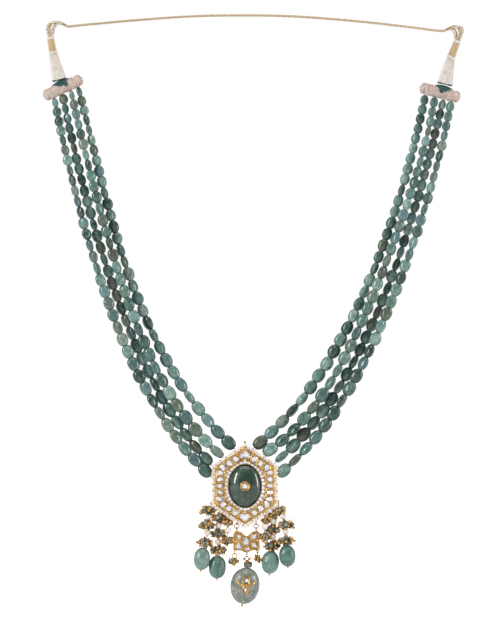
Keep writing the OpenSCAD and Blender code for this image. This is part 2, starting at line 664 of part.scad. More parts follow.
module plaque() {
    back = hook_y + plaque_t / 2;
    lower_plate_z = ring_z - ring_r - ring_sag;
    color(GOLD) union() {
        difference() {
            slab(back, plaque_t) polygon(plaque_outline());
            for (s = PLAQUE_STONES) slab(back - plaque_t + plaque_pocket, 2 * plaque_pocket)
                polygon(pebble(s[P_AT], s[P_W], s[P_H], s[P_TURN], s[P_NARROW]));
        }
        for (x = [ring_left_x, ring_right_x]) edge_plate([x, hook_y, lower_plate_z], -1, lower_stem);
        edge_plate([CORNER_LEFT[0][0], hook_y, CORNER_LEFT[0][1] + corner_ring_r + ring_sag], 1, corner_stem);
        slab(hook_y + ear_t / 2, ear_t) difference() {
            union() {
                translate([CORNER_RIGHT[0][0], CORNER_RIGHT[0][1] + corner_ring_r])
                    circle(r = ear_r, $fn = 40);
                translate([CORNER_RIGHT[0][0] - stem_w / 2, CORNER_RIGHT[0][1] + corner_ring_r])
                    square([stem_w, corner_stem]);
            }
            translate([CORNER_RIGHT[0][0], CORNER_RIGHT[0][1] + corner_ring_r])
                circle(r = ear_hole, $fn = 40);
        }
        slab(hook_y + tip_ear_t / 2, tip_ear_t) difference() {
            union() {
                translate([tip[0], tip[2]]) circle(r = tip_ear_r, $fn = 40);
                translate([tip[0] - stem_w / 2, tip[2]]) square([stem_w, tip_stem]);
            }
            translate([tip[0], tip[2]]) circle(r = tip_hole, $fn = 40);
        }
    }
}

module plaque_polki() {
    seat = hook_y - plaque_t / 2 + plaque_pocket - seat_gap;
    m = 2 * stone_gap;
    color(POLKI) for (s = PLAQUE_STONES)
        cut_stone(pebble(s[P_AT], s[P_W] - m, s[P_H] - m, s[P_TURN], s[P_NARROW]), seat, plaque_stone_h);
}

module jump_ring(x) { color(GOLD) ring_front([x, hook_y, ring_z], ring_r, ring_wire_r); }

// Cluster of seed beads round a wire: double cone with a blunt rim.
module cluster(at, r) {
    h = max(cluster_h * r, cluster_least);
    top = r * cluster_top;
    rim = h * cluster_rim;
    translate(at) rotate_extrude($fn = 24)
        polygon([[0, h], [top, h], [r, rim], [r, -rim], [top, -h], [0, -h]]);
}

module corner_drop_left() {
    ring = place(CORNER_LEFT[0], hook_y);
    at = place(CORNER_LEFT[1], hook_y);
    color(GOLD) union() {
        ring_front(ring, corner_ring_r, corner_wire_r);
        rod(ring - [0, 0, corner_ring_r], at, corner_thin);
        cluster(at, CORNER_LEFT[2]);
    }
}

module corner_drop_right() {
    ring = place(CORNER_RIGHT[0], hook_y);
    at = place(CORNER_RIGHT[1], hook_y);
    color(GOLD) union() {
        ring_edge(ring, corner_ring_r, corner_thin);
        rod(ring - [0, 0, corner_ring_r], at, corner_thin);
        cluster(at, CORNER_RIGHT[2]);
    }
}

// Main drop: edge-on ring, bail with its pin, carved stone, raised inlay and two stones.
module tip_ring() { color(GOLD) ring_edge(tip - [0, 0, tip_ring_r], tip_ring_r, tip_wire_r); }

main_up = [sin(main_lean), 0, cos(main_lean)];
cap_at = main_c + main_up * (main_hh + cap_up);

module bail() {
    h = [bail_hole_at[0], bail_hole_at[2]];
    r = bail_hole + bail_wall;
    low = [cap_at[0], cap_at[2]];
    foot = [bail_foot_w / 2, 0];
    color(GOLD) union() {
        slab(hook_y + bail_t / 2, bail_t) difference() {
            union() {
                translate(h) circle(r = r, $fn = 40);
                polygon([h + [-r * bail_side, -bail_drop], low - foot, low + foot,
                    h + [r * bail_side, -bail_drop]]);
            }
            translate(h) circle(r = bail_hole, $fn = 40);
        }
        for (s = [-1, 1]) translate([h[0] + s * (r + knob_out), hook_y, h[1] - bail_drop])
            sphere(r = knob_r, $fn = 24);
        along(cap_at - main_up * cap_low, cap_at + main_up)
            cylinder(r1 = cap_r, r2 = cap_top_r, h = cap_h, $fn = 32);
        rod(cap_at, main_c - main_up * (main_hh + pin_out), main_pin_r);
        translate(main_c - main_up * (main_hh + cap_up)) sphere(r = pin_ball_r, $fn = 24);
    }
}

// Outlines of the inlay: teardrop bezels and two curved arms; grow widens them.
INLAY_DROPS = [
    [[0.35, -365], 4.6, 7.4, 0, 0.5],
    [[-0.1, -371.6], 4.5, 6, 172, 0.5]
];
INLAY_ARMS = [[[0, -368.6], [-4.8, -363.2], 2.2], [[0.8, -368.6], [6.6, -364.5], -1.6]];
INLAY_SIDES = 14;
arm_w = 1.1;
inlay_pocket = 0.54;
inlay_stone = 0.46;
inlay_stone_h = 1.2;

function arm_line(row) = let (d = row[1] - row[0], side = unit([-d[1], d[0]]))
    [for (k = [0:4]) let (t = k / 4) mix(row[0], row[1], t) + side * row[2] * 4 * t * (1 - t)];
function longer(p, by) = let (n = len(p)) [for (i = [0:n - 1]) i == 0 ? p[0] + by * unit(p[0] - p[1])
    : i == n - 1 ? p[i] + by * unit(p[i] - p[i - 1]) : p[i]];
function arm_outline(row, grow) = let (p = longer(arm_line(row), grow), n = len(p), w = arm_w / 2 + grow)
    concat(
        [for (i = [0:n - 1]) let (t = unit(p[min(i + 1, n - 1)] - p[max(i - 1, 0)])) p[i] + w * [t[1], -t[0]]],
        [for (i = [n - 1:-1:0]) let (t = unit(p[min(i + 1, n - 1)] - p[max(i - 1, 0)])) p[i] - w * [t[1], -t[0]]]
    );

module inlay_shape(grow) {
    for (s = INLAY_DROPS) polygon(pebble(s[P_AT], s[P_W] + 2 * grow, s[P_H] + 2 * grow, s[P_TURN], s[P_NARROW],
        INLAY_SIDES));
    for (a = INLAY_ARMS) polygon(arm_outline(a, grow));
}

module main_dome(stand) {
    translate(main_c) rotate([0, main_lean, 0]) scale([main_hw + stand, main_ht + stand, main_hh + stand])
        sphere(r = 1, $fn = 48);
}

module main_emerald() {
    color(EMERALD) difference() {
        main_dome(0);
        along(main_c - main_up * bore_l / 2, main_c) cylinder(r = main_bore_r, h = bore_l, $fn = 24);
        slab(hook_y - inlay_floor, bore_l) inlay_shape(inlay_gap);
    }
}

module main_inlay() {
    color(GOLD) difference() {
        intersection() {
            main_dome(inlay_stand);
            slab(hook_y - inlay_floor - clear, bore_l) inlay_shape(0);
        }
        for (s = INLAY_DROPS) slab(hook_y - main_ht + inlay_stand, bore_l)
            polygon(pebble(s[P_AT], s[P_W] * inlay_pocket, s[P_H] * inlay_pocket, s[P_TURN], s[P_NARROW]));
    }
}

module inlay_polki() {
    color(POLKI) for (s = INLAY_DROPS)
        cut_stone(pebble(s[P_AT], s[P_W] * inlay_stone, s[P_H] * inlay_stone, s[P_TURN], s[P_NARROW]),
            hook_y - main_ht + inlay_stand - seat_gap, inlay_stone_h);
}

// Side drops: a wire with its clusters, the pearls on it and the carved stone at its foot.
function wire_points(row) = [for (e = row)
    each e[D_KIND] == HOOK ? [e[D_AT] - [0, 0, 2 * hook_r]]
        : e[D_KIND] == PEARL ? [e[D_AT] + [0, 0, e[D_R] + pearl_lead], e[D_AT] - [0, 0, e[D_R] + pearl_lead]]
        : [e[D_AT]]];
function found(row, kind) = [for (e = row) if (e[D_KIND] == kind) e];

module drop_wire(row) {
    p = wire_points(row);
    hook = row[0][D_AT];
    color(GOLD) union() {
        ring_edge(hook - [0, 0, hook_r], hook_r, hook_wire_r);
        for (i = [0:len(p) - 2]) rod(p[i], p[i + 1], drop_wire_r);
        for (i = [0:len(p) - 2]) translate(p[i]) sphere(r = drop_knot_r, $fn = 20);
        for (e = found(row, CLUSTER)) cluster(e[D_AT], e[D_R]);
        for (e = found(row, PIN_END)) translate(e[D_AT]) sphere(r = e[D_R], $fn = 24);
    }
}

module drop_pearls(row) {
    color(PEARL_WHITE) for (e = found(row, PEARL)) translate(e[D_AT]) difference() {
        sphere(r = e[D_R], $fn = 32);
        cylinder(r = pearl_hole_r, h = 4 * e[D_R], center = true, $fn = 20);
    }
}

module drop_emerald(row) {
    top = found(row, STONE_TOP)[0][D_AT];
    w = 2 * found(row, STONE_TOP)[0][D_R];
    foot = found(row, PIN_END)[0][D_AT];
    l = norm(top - foot) - found(row, PIN_END)[0][D_R] - clear;
    color(EMERALD) along(top, foot) translate([0, 0, l / 2]) difference() {
        scale([w / l, w / l, 1]) sphere(d = l, $fn = 40);
        cylinder(r = melon_hole_r, h = 2 * l, center = true, $fn = 24);
    }
}

neck_cord();
gold_wrap(ENDS[0]);  // gold_wrap_left
gold_wrap(ENDS[1]);  // gold_wrap_right
woven_taper(ENDS[0]);  // woven_taper_left
woven_taper(ENDS[1]);  // woven_taper_right
lashing(ENDS[0]);  // lashing_left
lashing(ENDS[1]);  // lashing_right
end_bar(ENDS[0]);  // end_bar_left
end_bar(ENDS[1]);  // end_bar_right
string_tube(LEFT_STRINGS[0]);  // strand_left_1
bead_string(LEFT_STRINGS[1], 2);  // strand_left_2
bead_string(LEFT_STRINGS[2], 3);  // strand_left_3
bead_string(LEFT_STRINGS[3], 4);  // strand_left_4
bead_string(RIGHT_STRINGS[0], 5);  // strand_right_1
bead_string(RIGHT_STRINGS[1], 6);  // strand_right_2
string_tube(RIGHT_STRINGS[2]);  // strand_right_3
string_tube(RIGHT_STRINGS[3]);  // strand_right_4
thread(LEFT_STRINGS[1]);  // thread_left_2
thread(LEFT_STRINGS[2]);  // thread_left_3
thread(LEFT_STRINGS[3]);  // thread_left_4
thread(RIGHT_STRINGS[0]);  // thread_right_1
thread(RIGHT_STRINGS[1]);  // thread_right_2
frame();
frame_polki();
ring_polki();
pearl_border();
centre_emerald();
centre_collet();
centre_polki();
plaque();
plaque_polki();
jump_ring(ring_left_x);  // ring_left
jump_ring(ring_right_x);  // ring_right
corner_drop_left();
corner_drop_right();
tip_ring();
bail();
main_emerald();
main_inlay();
inlay_polki();
drop_wire(DROP_A);  // wire_a
drop_pearls(DROP_A);  // pearls_a
drop_emerald(DROP_A);  // emerald_a
drop_wire(DROP_B);  // wire_b
drop_pearls(DROP_B);  // pearls_b
drop_emerald(DROP_B);  // emerald_b
drop_wire(DROP_C);  // wire_c
drop_pearls(DROP_C);  // pearls_c
drop_wire(DROP_D);  // wire_d
drop_pearls(DROP_D);  // pearls_d
drop_wire(DROP_E);  // wire_e
drop_pearls(DROP_E);  // pearls_e
drop_emerald(DROP_E);  // emerald_e
drop_wire(DROP_F);  // wire_f
drop_pearls(DROP_F);  // pearls_f
drop_emerald(DROP_F);  // emerald_f
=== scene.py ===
"""Looks of a polki pendant necklace round its CAD frame. Tables are in millimetres, meshes in metres."""
import math

import bpy
import numpy as np
from mathutils import Matrix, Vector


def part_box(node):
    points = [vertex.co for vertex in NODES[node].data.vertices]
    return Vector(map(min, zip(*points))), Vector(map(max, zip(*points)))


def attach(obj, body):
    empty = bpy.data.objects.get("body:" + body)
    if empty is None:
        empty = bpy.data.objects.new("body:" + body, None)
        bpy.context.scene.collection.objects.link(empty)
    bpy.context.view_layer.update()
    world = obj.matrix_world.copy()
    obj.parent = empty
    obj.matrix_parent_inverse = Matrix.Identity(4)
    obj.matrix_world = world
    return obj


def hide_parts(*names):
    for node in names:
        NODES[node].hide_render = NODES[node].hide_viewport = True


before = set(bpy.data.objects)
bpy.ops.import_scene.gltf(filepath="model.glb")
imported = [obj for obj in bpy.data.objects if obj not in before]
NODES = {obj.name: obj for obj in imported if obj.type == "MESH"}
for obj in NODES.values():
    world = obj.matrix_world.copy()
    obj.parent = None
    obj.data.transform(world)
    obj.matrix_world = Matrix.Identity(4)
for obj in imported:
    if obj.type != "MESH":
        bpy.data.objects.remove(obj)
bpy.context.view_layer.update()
MM = 0.001
ROOT = "necklace"

# Camera
scene = bpy.context.scene
FRONT = -75.0
CAM_AT = (3.2, -194.9)
CAM_FAR = 3000.0
cam_data = bpy.data.cameras.new("camera")
cam_data.lens, cam_data.sensor_width = 270, 36
cam_data.clip_start, cam_data.clip_end = 0.1, 60
cam = bpy.data.objects.new("camera", cam_data)
cam.location = (CAM_AT[0] * MM, (FRONT - CAM_FAR) * MM, CAM_AT[1] * MM)
cam.rotation_euler = (math.pi / 2, 0, 0)
scene.collection.objects.link(cam)
scene.camera = cam


# Small maths
def mix(a, b, t):
    return a + (b - a) * t


def unit(v):
    v = np.asarray(v, float)
    return v / np.linalg.norm(v)


def chance(i, j):
    """Repeatable number from 0 to 1 for two whole numbers."""
    s = math.sin(math.radians(i * 78.233 + j * 12.9898)) * 43758.5453
    return s - math.floor(s)


def lengths(p):
    """Distance of each point of a run from its start."""
    return np.concatenate([[0], np.cumsum(np.linalg.norm(np.diff(p, axis=0), axis=1))])


def walk(path, s):
    """Places on a path at some distances along it."""
    run = lengths(path)
    return np.stack([np.interp(s, run, path[:, c]) for c in range(3)], 1)


def smooth(p, steps):
    """Rounded run through a few points."""
    p = np.asarray(p, float)
    out = []
    for i in range(len(p) - 1):
        a, b, c, d = p[max(i - 1, 0)], p[i], p[i + 1], p[min(i + 2, len(p) - 1)]
        for u in np.arange(steps) / steps:
            out.append(0.5 * (2 * b + (c - a) * u + (2 * a - 5 * b + 4 * c - d) * u * u
                              + (3 * b - a - 3 * c + d) * u ** 3))
    return np.array(out + [p[-1]])


# Spots of the front view: millimetres between two of them, and the spot at the nape
SPOT_MM = 0.64
SPOT_NAPE = (245, 8)


def px(x, y, depth=FRONT):
    """Place in the front plane of a spot of the front view."""
    return (SPOT_MM * (x - SPOT_NAPE[0]), depth, SPOT_MM * (SPOT_NAPE[1] - y))


def basis(direction, hint=(0, 1, 0)):
    """Three axes at right angles, as columns, the last along a direction."""
    t = unit(direction)
    u = np.asarray(hint, float) - t * np.dot(hint, t)
    if np.linalg.norm(u) < 1e-6:
        u = np.array([1.0, 0, 0]) - t * t[0]
    u = unit(u)
    return np.stack([u, np.cross(t, u), t], axis=1)


def around(n, shift=0):
    """Even steps round a full turn."""
    return (np.arange(n) + shift) * 2 * math.pi / n


def heading(angle):
    """Direction at an angle in the front view."""
    return np.array([math.cos(angle), math.sin(angle)])


def oval(angles, wide, deep, height):
    """Points of a level oval at some angles."""
    return np.stack([wide * np.cos(angles), deep * np.sin(angles), np.full(len(angles), height)], 1)


def srgb(*c):
    """Screen colour, 0 to 255, as a linear one."""
    return tuple(((v / 255 + 0.055) / 1.055) ** 2.4 for v in c) + (1.0,)


def stops(*rows):
    """Colour stops from rows of place, red, green and blue."""
    return [(row[0], srgb(*row[1:])) for row in rows]


def strand_look(k, i, tone, spread):
    """Look of one strand among many: its own tone and lot."""
    return (tone + spread * chance(k, i), 0, chance(k, i + 1))


# Mesh building
class Soup:
    """Many small shapes in one mesh. Points keep look, as tone, tint and lot, and spot, their own place."""

    def __init__(self):
        self.v, self.f, self.look, self.spot, self.m, self.n = [], [], [], [], [], 0

    def add(self, verts, faces, look=(0.5, 0, 0), spot=None, slot=0, dim=0.0):
        verts = np.asarray(verts, float)
        self.v.append(verts)
        rows = np.tile(np.asarray(look, float), (len(verts), 1))
        # Painted shade: the tone is lowered where a piece asks for it.
        rows[:, 0] -= dim
        self.look.append(rows)
        self.spot.append((verts if spot is None else spot) + look[2] * 37.0)
        for block in faces:
            self.f += (np.asarray(block) + self.n).tolist()
            self.m += [slot] * len(block)
        self.n += len(verts)

    def piece(self, name, materials, body=ROOT, slot=None, replaces=(), flat=False):
        mesh = bpy.data.meshes.new(name)
        mesh.from_pydata((np.concatenate(self.v) * MM).tolist(), [], self.f)
        for key, rows in (("look", self.look), ("spot", self.spot)):
            mesh.attributes.new(key, "FLOAT_VECTOR", "POINT").data.foreach_set(
                "vector", np.concatenate(rows).astype(np.float32).ravel())
        for m in materials:
            mesh.materials.append(m)
        mesh.polygons.foreach_set("material_index", self.m)
        mesh.polygons.foreach_set("use_smooth", [not flat] * len(self.f))
        mesh.update()
        obj = bpy.data.objects.new(name, mesh)
        scene.collection.objects.link(obj)
        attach(obj, body)
        if replaces:
            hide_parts(*replaces)
        return obj


def ring_quads(rows, sides, closed=False):
    """Faces between neighbouring rings of points."""
    i = np.arange(rows if closed else rows - 1)[:, None]
    k = np.arange(sides)[None, :]
    j, m = (i + 1) % rows, (k + 1) % sides
    return np.stack([i * sides + k, i * sides + m, j * sides + m, j * sides + k], -1).reshape(-1, 4)


def skin(rows, sides, closed=False, flip=False):
    """Faces over a run of rings, with caps at its ends unless it is closed."""
    way = -1 if flip else 1
    faces = [ring_quads(rows, sides, closed)[:, ::way]]
    if not closed:
        cap = np.arange(sides)[None]
        faces += [cap[:, ::-way], (cap + (rows - 1) * sides)[:, ::way]]
    return faces


def side_ways(p, closed=False, hint=(0, 1, 0)):
    """Two directions across a run at each of its points, carried along it without a twist."""
    ahead = np.roll(p, -1, 0) - np.roll(p, 1, 0) if closed else np.gradient(p, axis=0)
    ahead /= np.maximum(np.linalg.norm(ahead, axis=1), 1e-9)[:, None]
    u = basis(ahead[0], hint)[:, 0]
    us = []
    for t in ahead:
        u = unit(u - t * np.dot(u, t))
        us.append(u)
    return np.array(us), np.cross(ahead, us)


def tube(soup, path, r, sides=8, closed=False, hint=(0, 1, 0), **kw):
    """Round wire along a path, with one radius or one for each point."""
    p = np.asarray(path, float)
    us, vs = side_ways(p, closed, hint)
    a = around(sides)[:, None]
    r = np.broadcast_to(np.asarray(r, float), len(p))
    rings = [q + w * (np.cos(a) * u + np.sin(a) * v) for q, w, u, v in zip(p, r, us, vs)]
    soup.add(np.concatenate(rings), skin(len(p), sides, closed), **kw)


BALLS = {}


def ball_shape(sides, rows):
    """Points and faces of a ball of radius one, kept for the next use."""
    if (sides, rows) not in BALLS:
        a = around(sides)
        pts = [np.array([[0, 0, 1.0]])]
        for i in range(1, rows):
            b = math.pi * i / rows
            pts.append(oval(a, math.sin(b), math.sin(b), math.cos(b)))
        pts.append(np.array([[0, 0, -1.0]]))
        k = np.arange(sides)
        m = (k + 1) % sides
        last = 1 + (rows - 1) * sides
        quads = ring_quads(rows - 1, sides)[:, ::-1] + 1
        tips = np.concatenate([np.stack([np.zeros_like(k), k + 1, m + 1], 1),
                               np.stack([np.full_like(k, last), last - sides + m, last - sides + k], 1)])
        BALLS[sides, rows] = (np.concatenate(pts), [quads, tips])
    return BALLS[sides, rows]


def ball(soup, at, half, sides=10, rows=6, turned=np.eye(3), **kw):
    """Ball with one half width, or three, along the axes of turned."""
    pts, faces = ball_shape(sides, rows)
    local = pts * np.asarray(half, float)
    soup.add(np.asarray(at, float) + local @ turned.T, faces, spot=local, **kw)


def turn_round(f, a):
    """Directions at some angles in the plane of the first two axes of f."""
    return np.cos(a)[:, None] * f[:, 0] + np.sin(a)[:, None] * f[:, 1]


def ring(soup, at, big, wire, normal, sides=28, wire_sides=8, **kw):
    """Round loop of wire in the plane across normal."""
    f = basis(normal)
    run = np.asarray(at) + big * turn_round(f, around(sides))
    tube(soup, run, wire, wire_sides, closed=True, hint=f[:, 2], **kw)


def coil(soup, start, end, big, wire, turns, sides=5, per_turn=12, **kw):
    """Wire wound round the line from start to end."""
    start, end = np.asarray(start, float), np.asarray(end, float)
    f = basis(end - start)
    n = int(turns * per_turn) + 1
    a = np.arange(n) * 2 * math.pi / per_turn
    run = start + (end - start) * (np.arange(n) / (n - 1))[:, None]
    tube(soup, run + big * turn_round(f, a), wire, sides, **kw)


# Materials
class Paint:
    """A node material around one Principled shader."""

    def __init__(self, name, **inputs):
        self.m = bpy.data.materials.new(name)
        self.m.use_nodes = True
        self.t = self.m.node_tree
        self.shader = self.t.nodes["Principled BSDF"]
        for key, value in inputs.items():
            self.shader.inputs[key.replace("_", " ")].default_value = value

    def put(self, kind, links=None, values=None, **settings):
        node = self.t.nodes.new("ShaderNode" + kind)
        for key, value in settings.items():
            setattr(node, key, value)
        for key, value in (values or {}).items():
            node.inputs[key].default_value = value
        for key, source in (links or {}).items():
            self.t.links.new(source, node.inputs[key])
        return node

    def to(self, socket, source):
        self.t.links.new(source, self.shader.inputs[socket])

    def look(self):
        n = self.put("Attribute", attribute_name="look")
        s = self.put("SeparateXYZ", {0: n.outputs["Vector"]})
        return s.outputs[0], s.outputs[1]

    def spot(self, stretch=(1, 1, 1)):
        n = self.put("Attribute", attribute_name="spot")
        return self.put("Mapping", {0: n.outputs["Vector"]}, {"Scale": stretch}).outputs[0]

    def place(self, scale=1000.0):
        n = self.put("TexCoord")
        return self.put("Mapping", {0: n.outputs["Object"]}, {"Scale": (scale,) * 3}).outputs[0]

    def noise(self, where, scale, detail=3.0, rough=0.55, warp=0.0):
        return self.put("TexNoise", {"Vector": where}, {
            "Scale": scale, "Detail": detail, "Roughness": rough, "Distortion": warp}).outputs[0]

    def math(self, op, a, b, clamp=False):
        n = self.put("Math", operation=op, use_clamp=clamp)
        for i, x in enumerate((a, b)):
            if isinstance(x, (int, float)):
                n.inputs[i].default_value = x
            else:
                self.t.links.new(x, n.inputs[i])
        return n.outputs[0]

    def sway(self, base, noise, amount, clamp=False):
        """Base moved up and down by a noise."""
        lift = self.math("MULTIPLY", self.math("SUBTRACT", noise, 0.5), amount)
        return self.math("ADD", base, lift, clamp=clamp)

    def ramp(self, value, steps):
        n = self.put("ValToRGB", {0: value})
        e = n.color_ramp.elements
        while len(e) < len(steps):
            e.new(0.5)
        for item, (at, colour) in zip(e, steps):
            item.position = at
            item.color = colour if hasattr(colour, "__len__") else (colour,) * 3 + (1,)
        return n.outputs[0]

    def blend(self, share, a, b):
        n = self.put("Mix", data_type="RGBA", blend_type="MIX")
        for i, x in ((0, share), (6, a), (7, b)):
            if isinstance(x, bpy.types.NodeSocket):
                self.t.links.new(x, n.inputs[i])
            else:
                n.inputs[i].default_value = x
        return n.outputs[2]

    def bump(self, height, strength, distance):
        n = self.put("Bump", {"Height": height}, {"Strength": strength, "Distance": distance})
        self.to("Normal", n.outputs[0])


def emerald_paint(name, steps, warm, cool, where=None, streak=(1, 1, 0.3), flecks=0.66, grain=0.04,
                  mottle=0.8, **inputs):
    """Beryl with clouds, streaks along its length, dark flecks and warm or cool patches."""
    p = Paint(name, **{"Roughness": 0.2, "Coat_Weight": 0.45, "Coat_Roughness": 0.08, **inputs})
    # On the beads, the tone also carries painted shade at their rims.
    tone, tint = p.look()
    here = where(p) if where else p.spot()
    along = where(p) if where else p.spot(streak)
    cloud = p.noise(here, 0.32, 4, 0.6, 0.4)
    fine = p.noise(along, 1.15, 4, 0.65, 0.8)
    t = p.sway(tone, cloud, mottle)
    t = p.sway(t, fine, 0.55, clamp=True)
    colour = p.ramp(t, steps)
    colour = p.blend(p.math("MAXIMUM", tint, 0.0), colour, cool)
    colour = p.blend(p.math("MAXIMUM", p.math("MULTIPLY", tint, -1.0), 0.0), colour, warm)
    patch = p.noise(here, 0.55, 3, 0.5)
    colour = p.blend(p.ramp(patch, [(0.56, 0.0), (0.7, 0.45)]), colour, warm)
    fleck = p.noise(along, 1.9, 2, 0.5, 0.6)
    colour = p.blend(p.ramp(fleck, [(flecks, 0.0), (flecks + 0.06, 0.75)]), colour, srgb(30, 38, 34))
    p.to("Base Color", colour)
    p.to("Roughness", p.ramp(fine, [(0.3, inputs.get("Roughness", 0.2)), (0.75, 0.36)]))
    p.bump(p.noise(along, 1.6, 3), grain, 0.0003)
    return p.m


EMERALD = emerald_paint(
    "emerald_bead", stops((0, 34, 58, 50), (0.28, 55, 88, 78), (0.52, 80, 115, 104), (0.76, 108, 143, 132),
                          (1, 150, 176, 166)),
    srgb(108, 104, 84), srgb(98, 136, 144), mottle=1.25)
CARVED = emerald_paint(
    "emerald_carved", stops((0, 46, 78, 68), (0.35, 78, 116, 104), (0.7, 107, 143, 133), (1, 144, 168, 160)),
    srgb(118, 116, 106), srgb(84, 124, 122), streak=(1, 1, 0.12), flecks=0.74, mottle=1.2)
MAIN_STONE = emerald_paint(
    "emerald_main", stops((0, 60, 80, 70), (0.35, 106, 124, 114), (0.68, 138, 150, 142), (1, 188, 192, 182)),
    srgb(112, 102, 92), srgb(88, 118, 112), streak=(0.35, 1, 0.9), flecks=0.68, mottle=1.9, Roughness=0.16)
CENTRE = emerald_paint(
    "emerald_centre", stops((0, 24, 54, 42), (0.36, 58, 90, 76), (0.66, 94, 118, 98), (1, 166, 164, 132)),
    srgb(112, 106, 84), srgb(84, 114, 112), where=lambda p: p.place(700.0), flecks=0.7, grain=0.01,
    mottle=2.2, Roughness=0.3, Coat_Weight=1.0, Coat_Roughness=0.03)


# Gold seen at a low angle is darker and redder
GOLD_RIM = (0.66, 0.42, 0.2, 1)


def metal_paint(name, bright, deep, rough, grain=2.2, lift=0.25):
    """Gold with random darker patches painted in for dark reflections, and a fine grain."""
    p = Paint(name, Metallic=1.0, Roughness=rough, Specular_Tint=GOLD_RIM)
    here = p.place()
    painted_dark_reflection = p.noise(here, 0.35, 4, 0.6)
    tiny = p.noise(here, grain, 3, 0.6)
    # Painted reflection: the deep colour in noise patches stands in for reflected dark surroundings.
    p.to("Base Color", p.blend(p.ramp(painted_dark_reflection, [(0.35, 0.0), (0.7, 1.0)]), bright, deep))
    p.to("Roughness", p.ramp(tiny, [(0.3, max(rough - 0.08, 0.05)), (0.7, rough + 0.12)]))
    p.bump(tiny, lift, 0.00012)
    return p.m


GOLD = metal_paint("gold", srgb(240, 200, 128), srgb(166, 112, 52), 0.2)
GOLD_WIRE = metal_paint("gold_wire", srgb(214, 160, 84), srgb(150, 100, 46), 0.3)
GOLD_BEAD = metal_paint("gold_bead", srgb(255, 206, 112), srgb(208, 142, 62), 0.24)
GOLD_FOIL = metal_paint("gold_foil", srgb(246, 208, 134), srgb(192, 138, 68), 0.22, 1.4, 0.16)


def polki_paint():
    """Clear stone over foil, with a cloudy grain, coloured by each facet's painted reflection."""
    p = Paint("polki", Metallic=0.15, Roughness=0.12, IOR=1.9, Coat_Weight=0.8, Coat_Roughness=0.04)
    tone = p.look()[0]
    grain = p.noise(p.spot(), 1.1, 3, 0.5, 0.5)
    t = p.sway(tone, grain, 0.5, clamp=True)
    p.to("Base Color", p.ramp(t, stops(
        (0, 120, 114, 116), (0.3, 172, 168, 176), (0.62, 214, 212, 222), (1, 250, 249, 252))))
    p.bump(grain, 0.1, 0.0002)
    return p.m


def pearl_paint():
    """Cream nacre with faint warm patches."""
    p = Paint("pearl", Roughness=0.22, Coat_Weight=0.6, Coat_Roughness=0.08, Sheen_Weight=0.25,
              Sheen_Tint=(1, 0.85, 0.85, 1))
    here = p.place()
    p.to("Base Color", p.ramp(p.noise(here, 0.5, 3, 0.5), stops(
        (0.3, 216, 198, 184), (0.5, 238, 227, 218), (0.74, 252, 248, 244))))
    p.bump(p.noise(here, 1.2, 2), 0.12, 0.0002)
    return p.m


def thread_paint(name, steps, rough, metallic=0.0, sheen=0.3, fine=3.2):
    """Spun thread: colour that changes from strand to strand and fine ply lines."""
    p = Paint(name, Roughness=rough, Metallic=metallic, Sheen_Weight=sheen)
    tone = p.look()[0]
    here = p.place()
    t = p.sway(tone, p.noise(here, fine, 4, 0.7), 1.3, clamp=True)
    p.to("Base Color", p.ramp(t, steps))
    p.bump(p.noise(here, fine * 1.5, 3, 0.7), 0.5, 0.00015)
    return p.m


POLKI = polki_paint()
PEARL = pearl_paint()
WHITE_CORD = thread_paint(
    "white_cord", stops((0, 176, 164, 152), (0.45, 216, 207, 198), (1, 238, 232, 226)), 0.75)
GOLD_THREAD = thread_paint(
    "gold_thread", stops((0, 150, 122, 82), (0.5, 202, 178, 138), (1, 234, 218, 188)), 0.45, 0.3, 0.1)
ZARI = thread_paint(
    "zari_thread", stops((0, 146, 112, 96), (0.35, 196, 170, 158), (0.7, 226, 206, 196), (1, 252, 242, 234)),
    0.42, 0.15, 0.1, 2.6)
GREEN_THREAD = thread_paint(
    "green_thread", stops((0, 4, 36, 38), (0.5, 10, 64, 64), (1, 34, 100, 98)), 0.6, 0, 0.2)
DARK_THREAD = thread_paint("dark_green_thread", stops((0, 16, 40, 34), (1, 40, 74, 62)), 0.7)

# Neck cord
CORD_ROUTE = [
    (-124.5, -75, -18.6), (-125.4, -75, -13.5), (-124.2, -74.6, -10), (-120.8, -73.6, -8.8),
    (-117, -71.6, -9.8), (-114.6, -67.6, -11), (-113, -61, -11), (-109.5, -51, -10),
    (-103, -40, -8.6), (-93, -29, -7), (-79, -18.6, -5), (-61, -10, -3), (-41, -4.2, -1.2),
    (-20, -1, -0.2), (0, 0, 0), (21, -1, -0.3), (43, -4.2, -1.6), (64, -10, -3.6),
    (83, -18.6, -6), (98, -29, -8.4), (110, -41, -10.6), (119, -52.6, -12.6),
    (124.6, -62, -13.8), (127.6, -68.6, -14.2), (130.4, -72.4, -12.8), (134.2, -74.2, -11.6),
    (137.2, -75, -13), (137.6, -75, -16.4), (135.9, -75, -21)]
CORD_D = 1.6
PLIES = 3
# Plies are a little thicker than fits, so that they press on each other
PLY_SWELL = 1.12


def plied(soup, path, big, pitch, looks, swell=((0, 1), (1, 1)), slots=(0, 0, 0)):
    """Twisted cord: plies wound round one line."""
    long = lengths(path)[-1]
    s = np.linspace(0, long, max(int(long / pitch * 12), 12))
    p = walk(path, s)
    us, vs = side_ways(p)
    grow = np.interp(s, *swell)
    fit = math.sin(math.pi / PLIES)
    ply_r = big * fit / (1 + fit)
    off = (big - ply_r) * grow
    for k in range(PLIES):
        a = 2 * math.pi * (s / pitch + k / PLIES)
        q = p + (off * np.cos(a))[:, None] * us + (off * np.sin(a))[:, None] * vs
        tube(soup, q, ply_r * PLY_SWELL * grow, 6, look=looks[k], slot=slots[k])


cord_line = smooth(CORD_ROUTE, 6)
soup = Soup()
plied(soup, cord_line, CORD_D / 2, 4.2, [(0.5, 0, 0.1), (0.65, 0, 0.3), (0.4, 0, 0.6)])
neck_cord = soup.piece("neck_cord_twist", [GOLD_THREAD], slot="gold_thread", replaces=["neck_cord"])

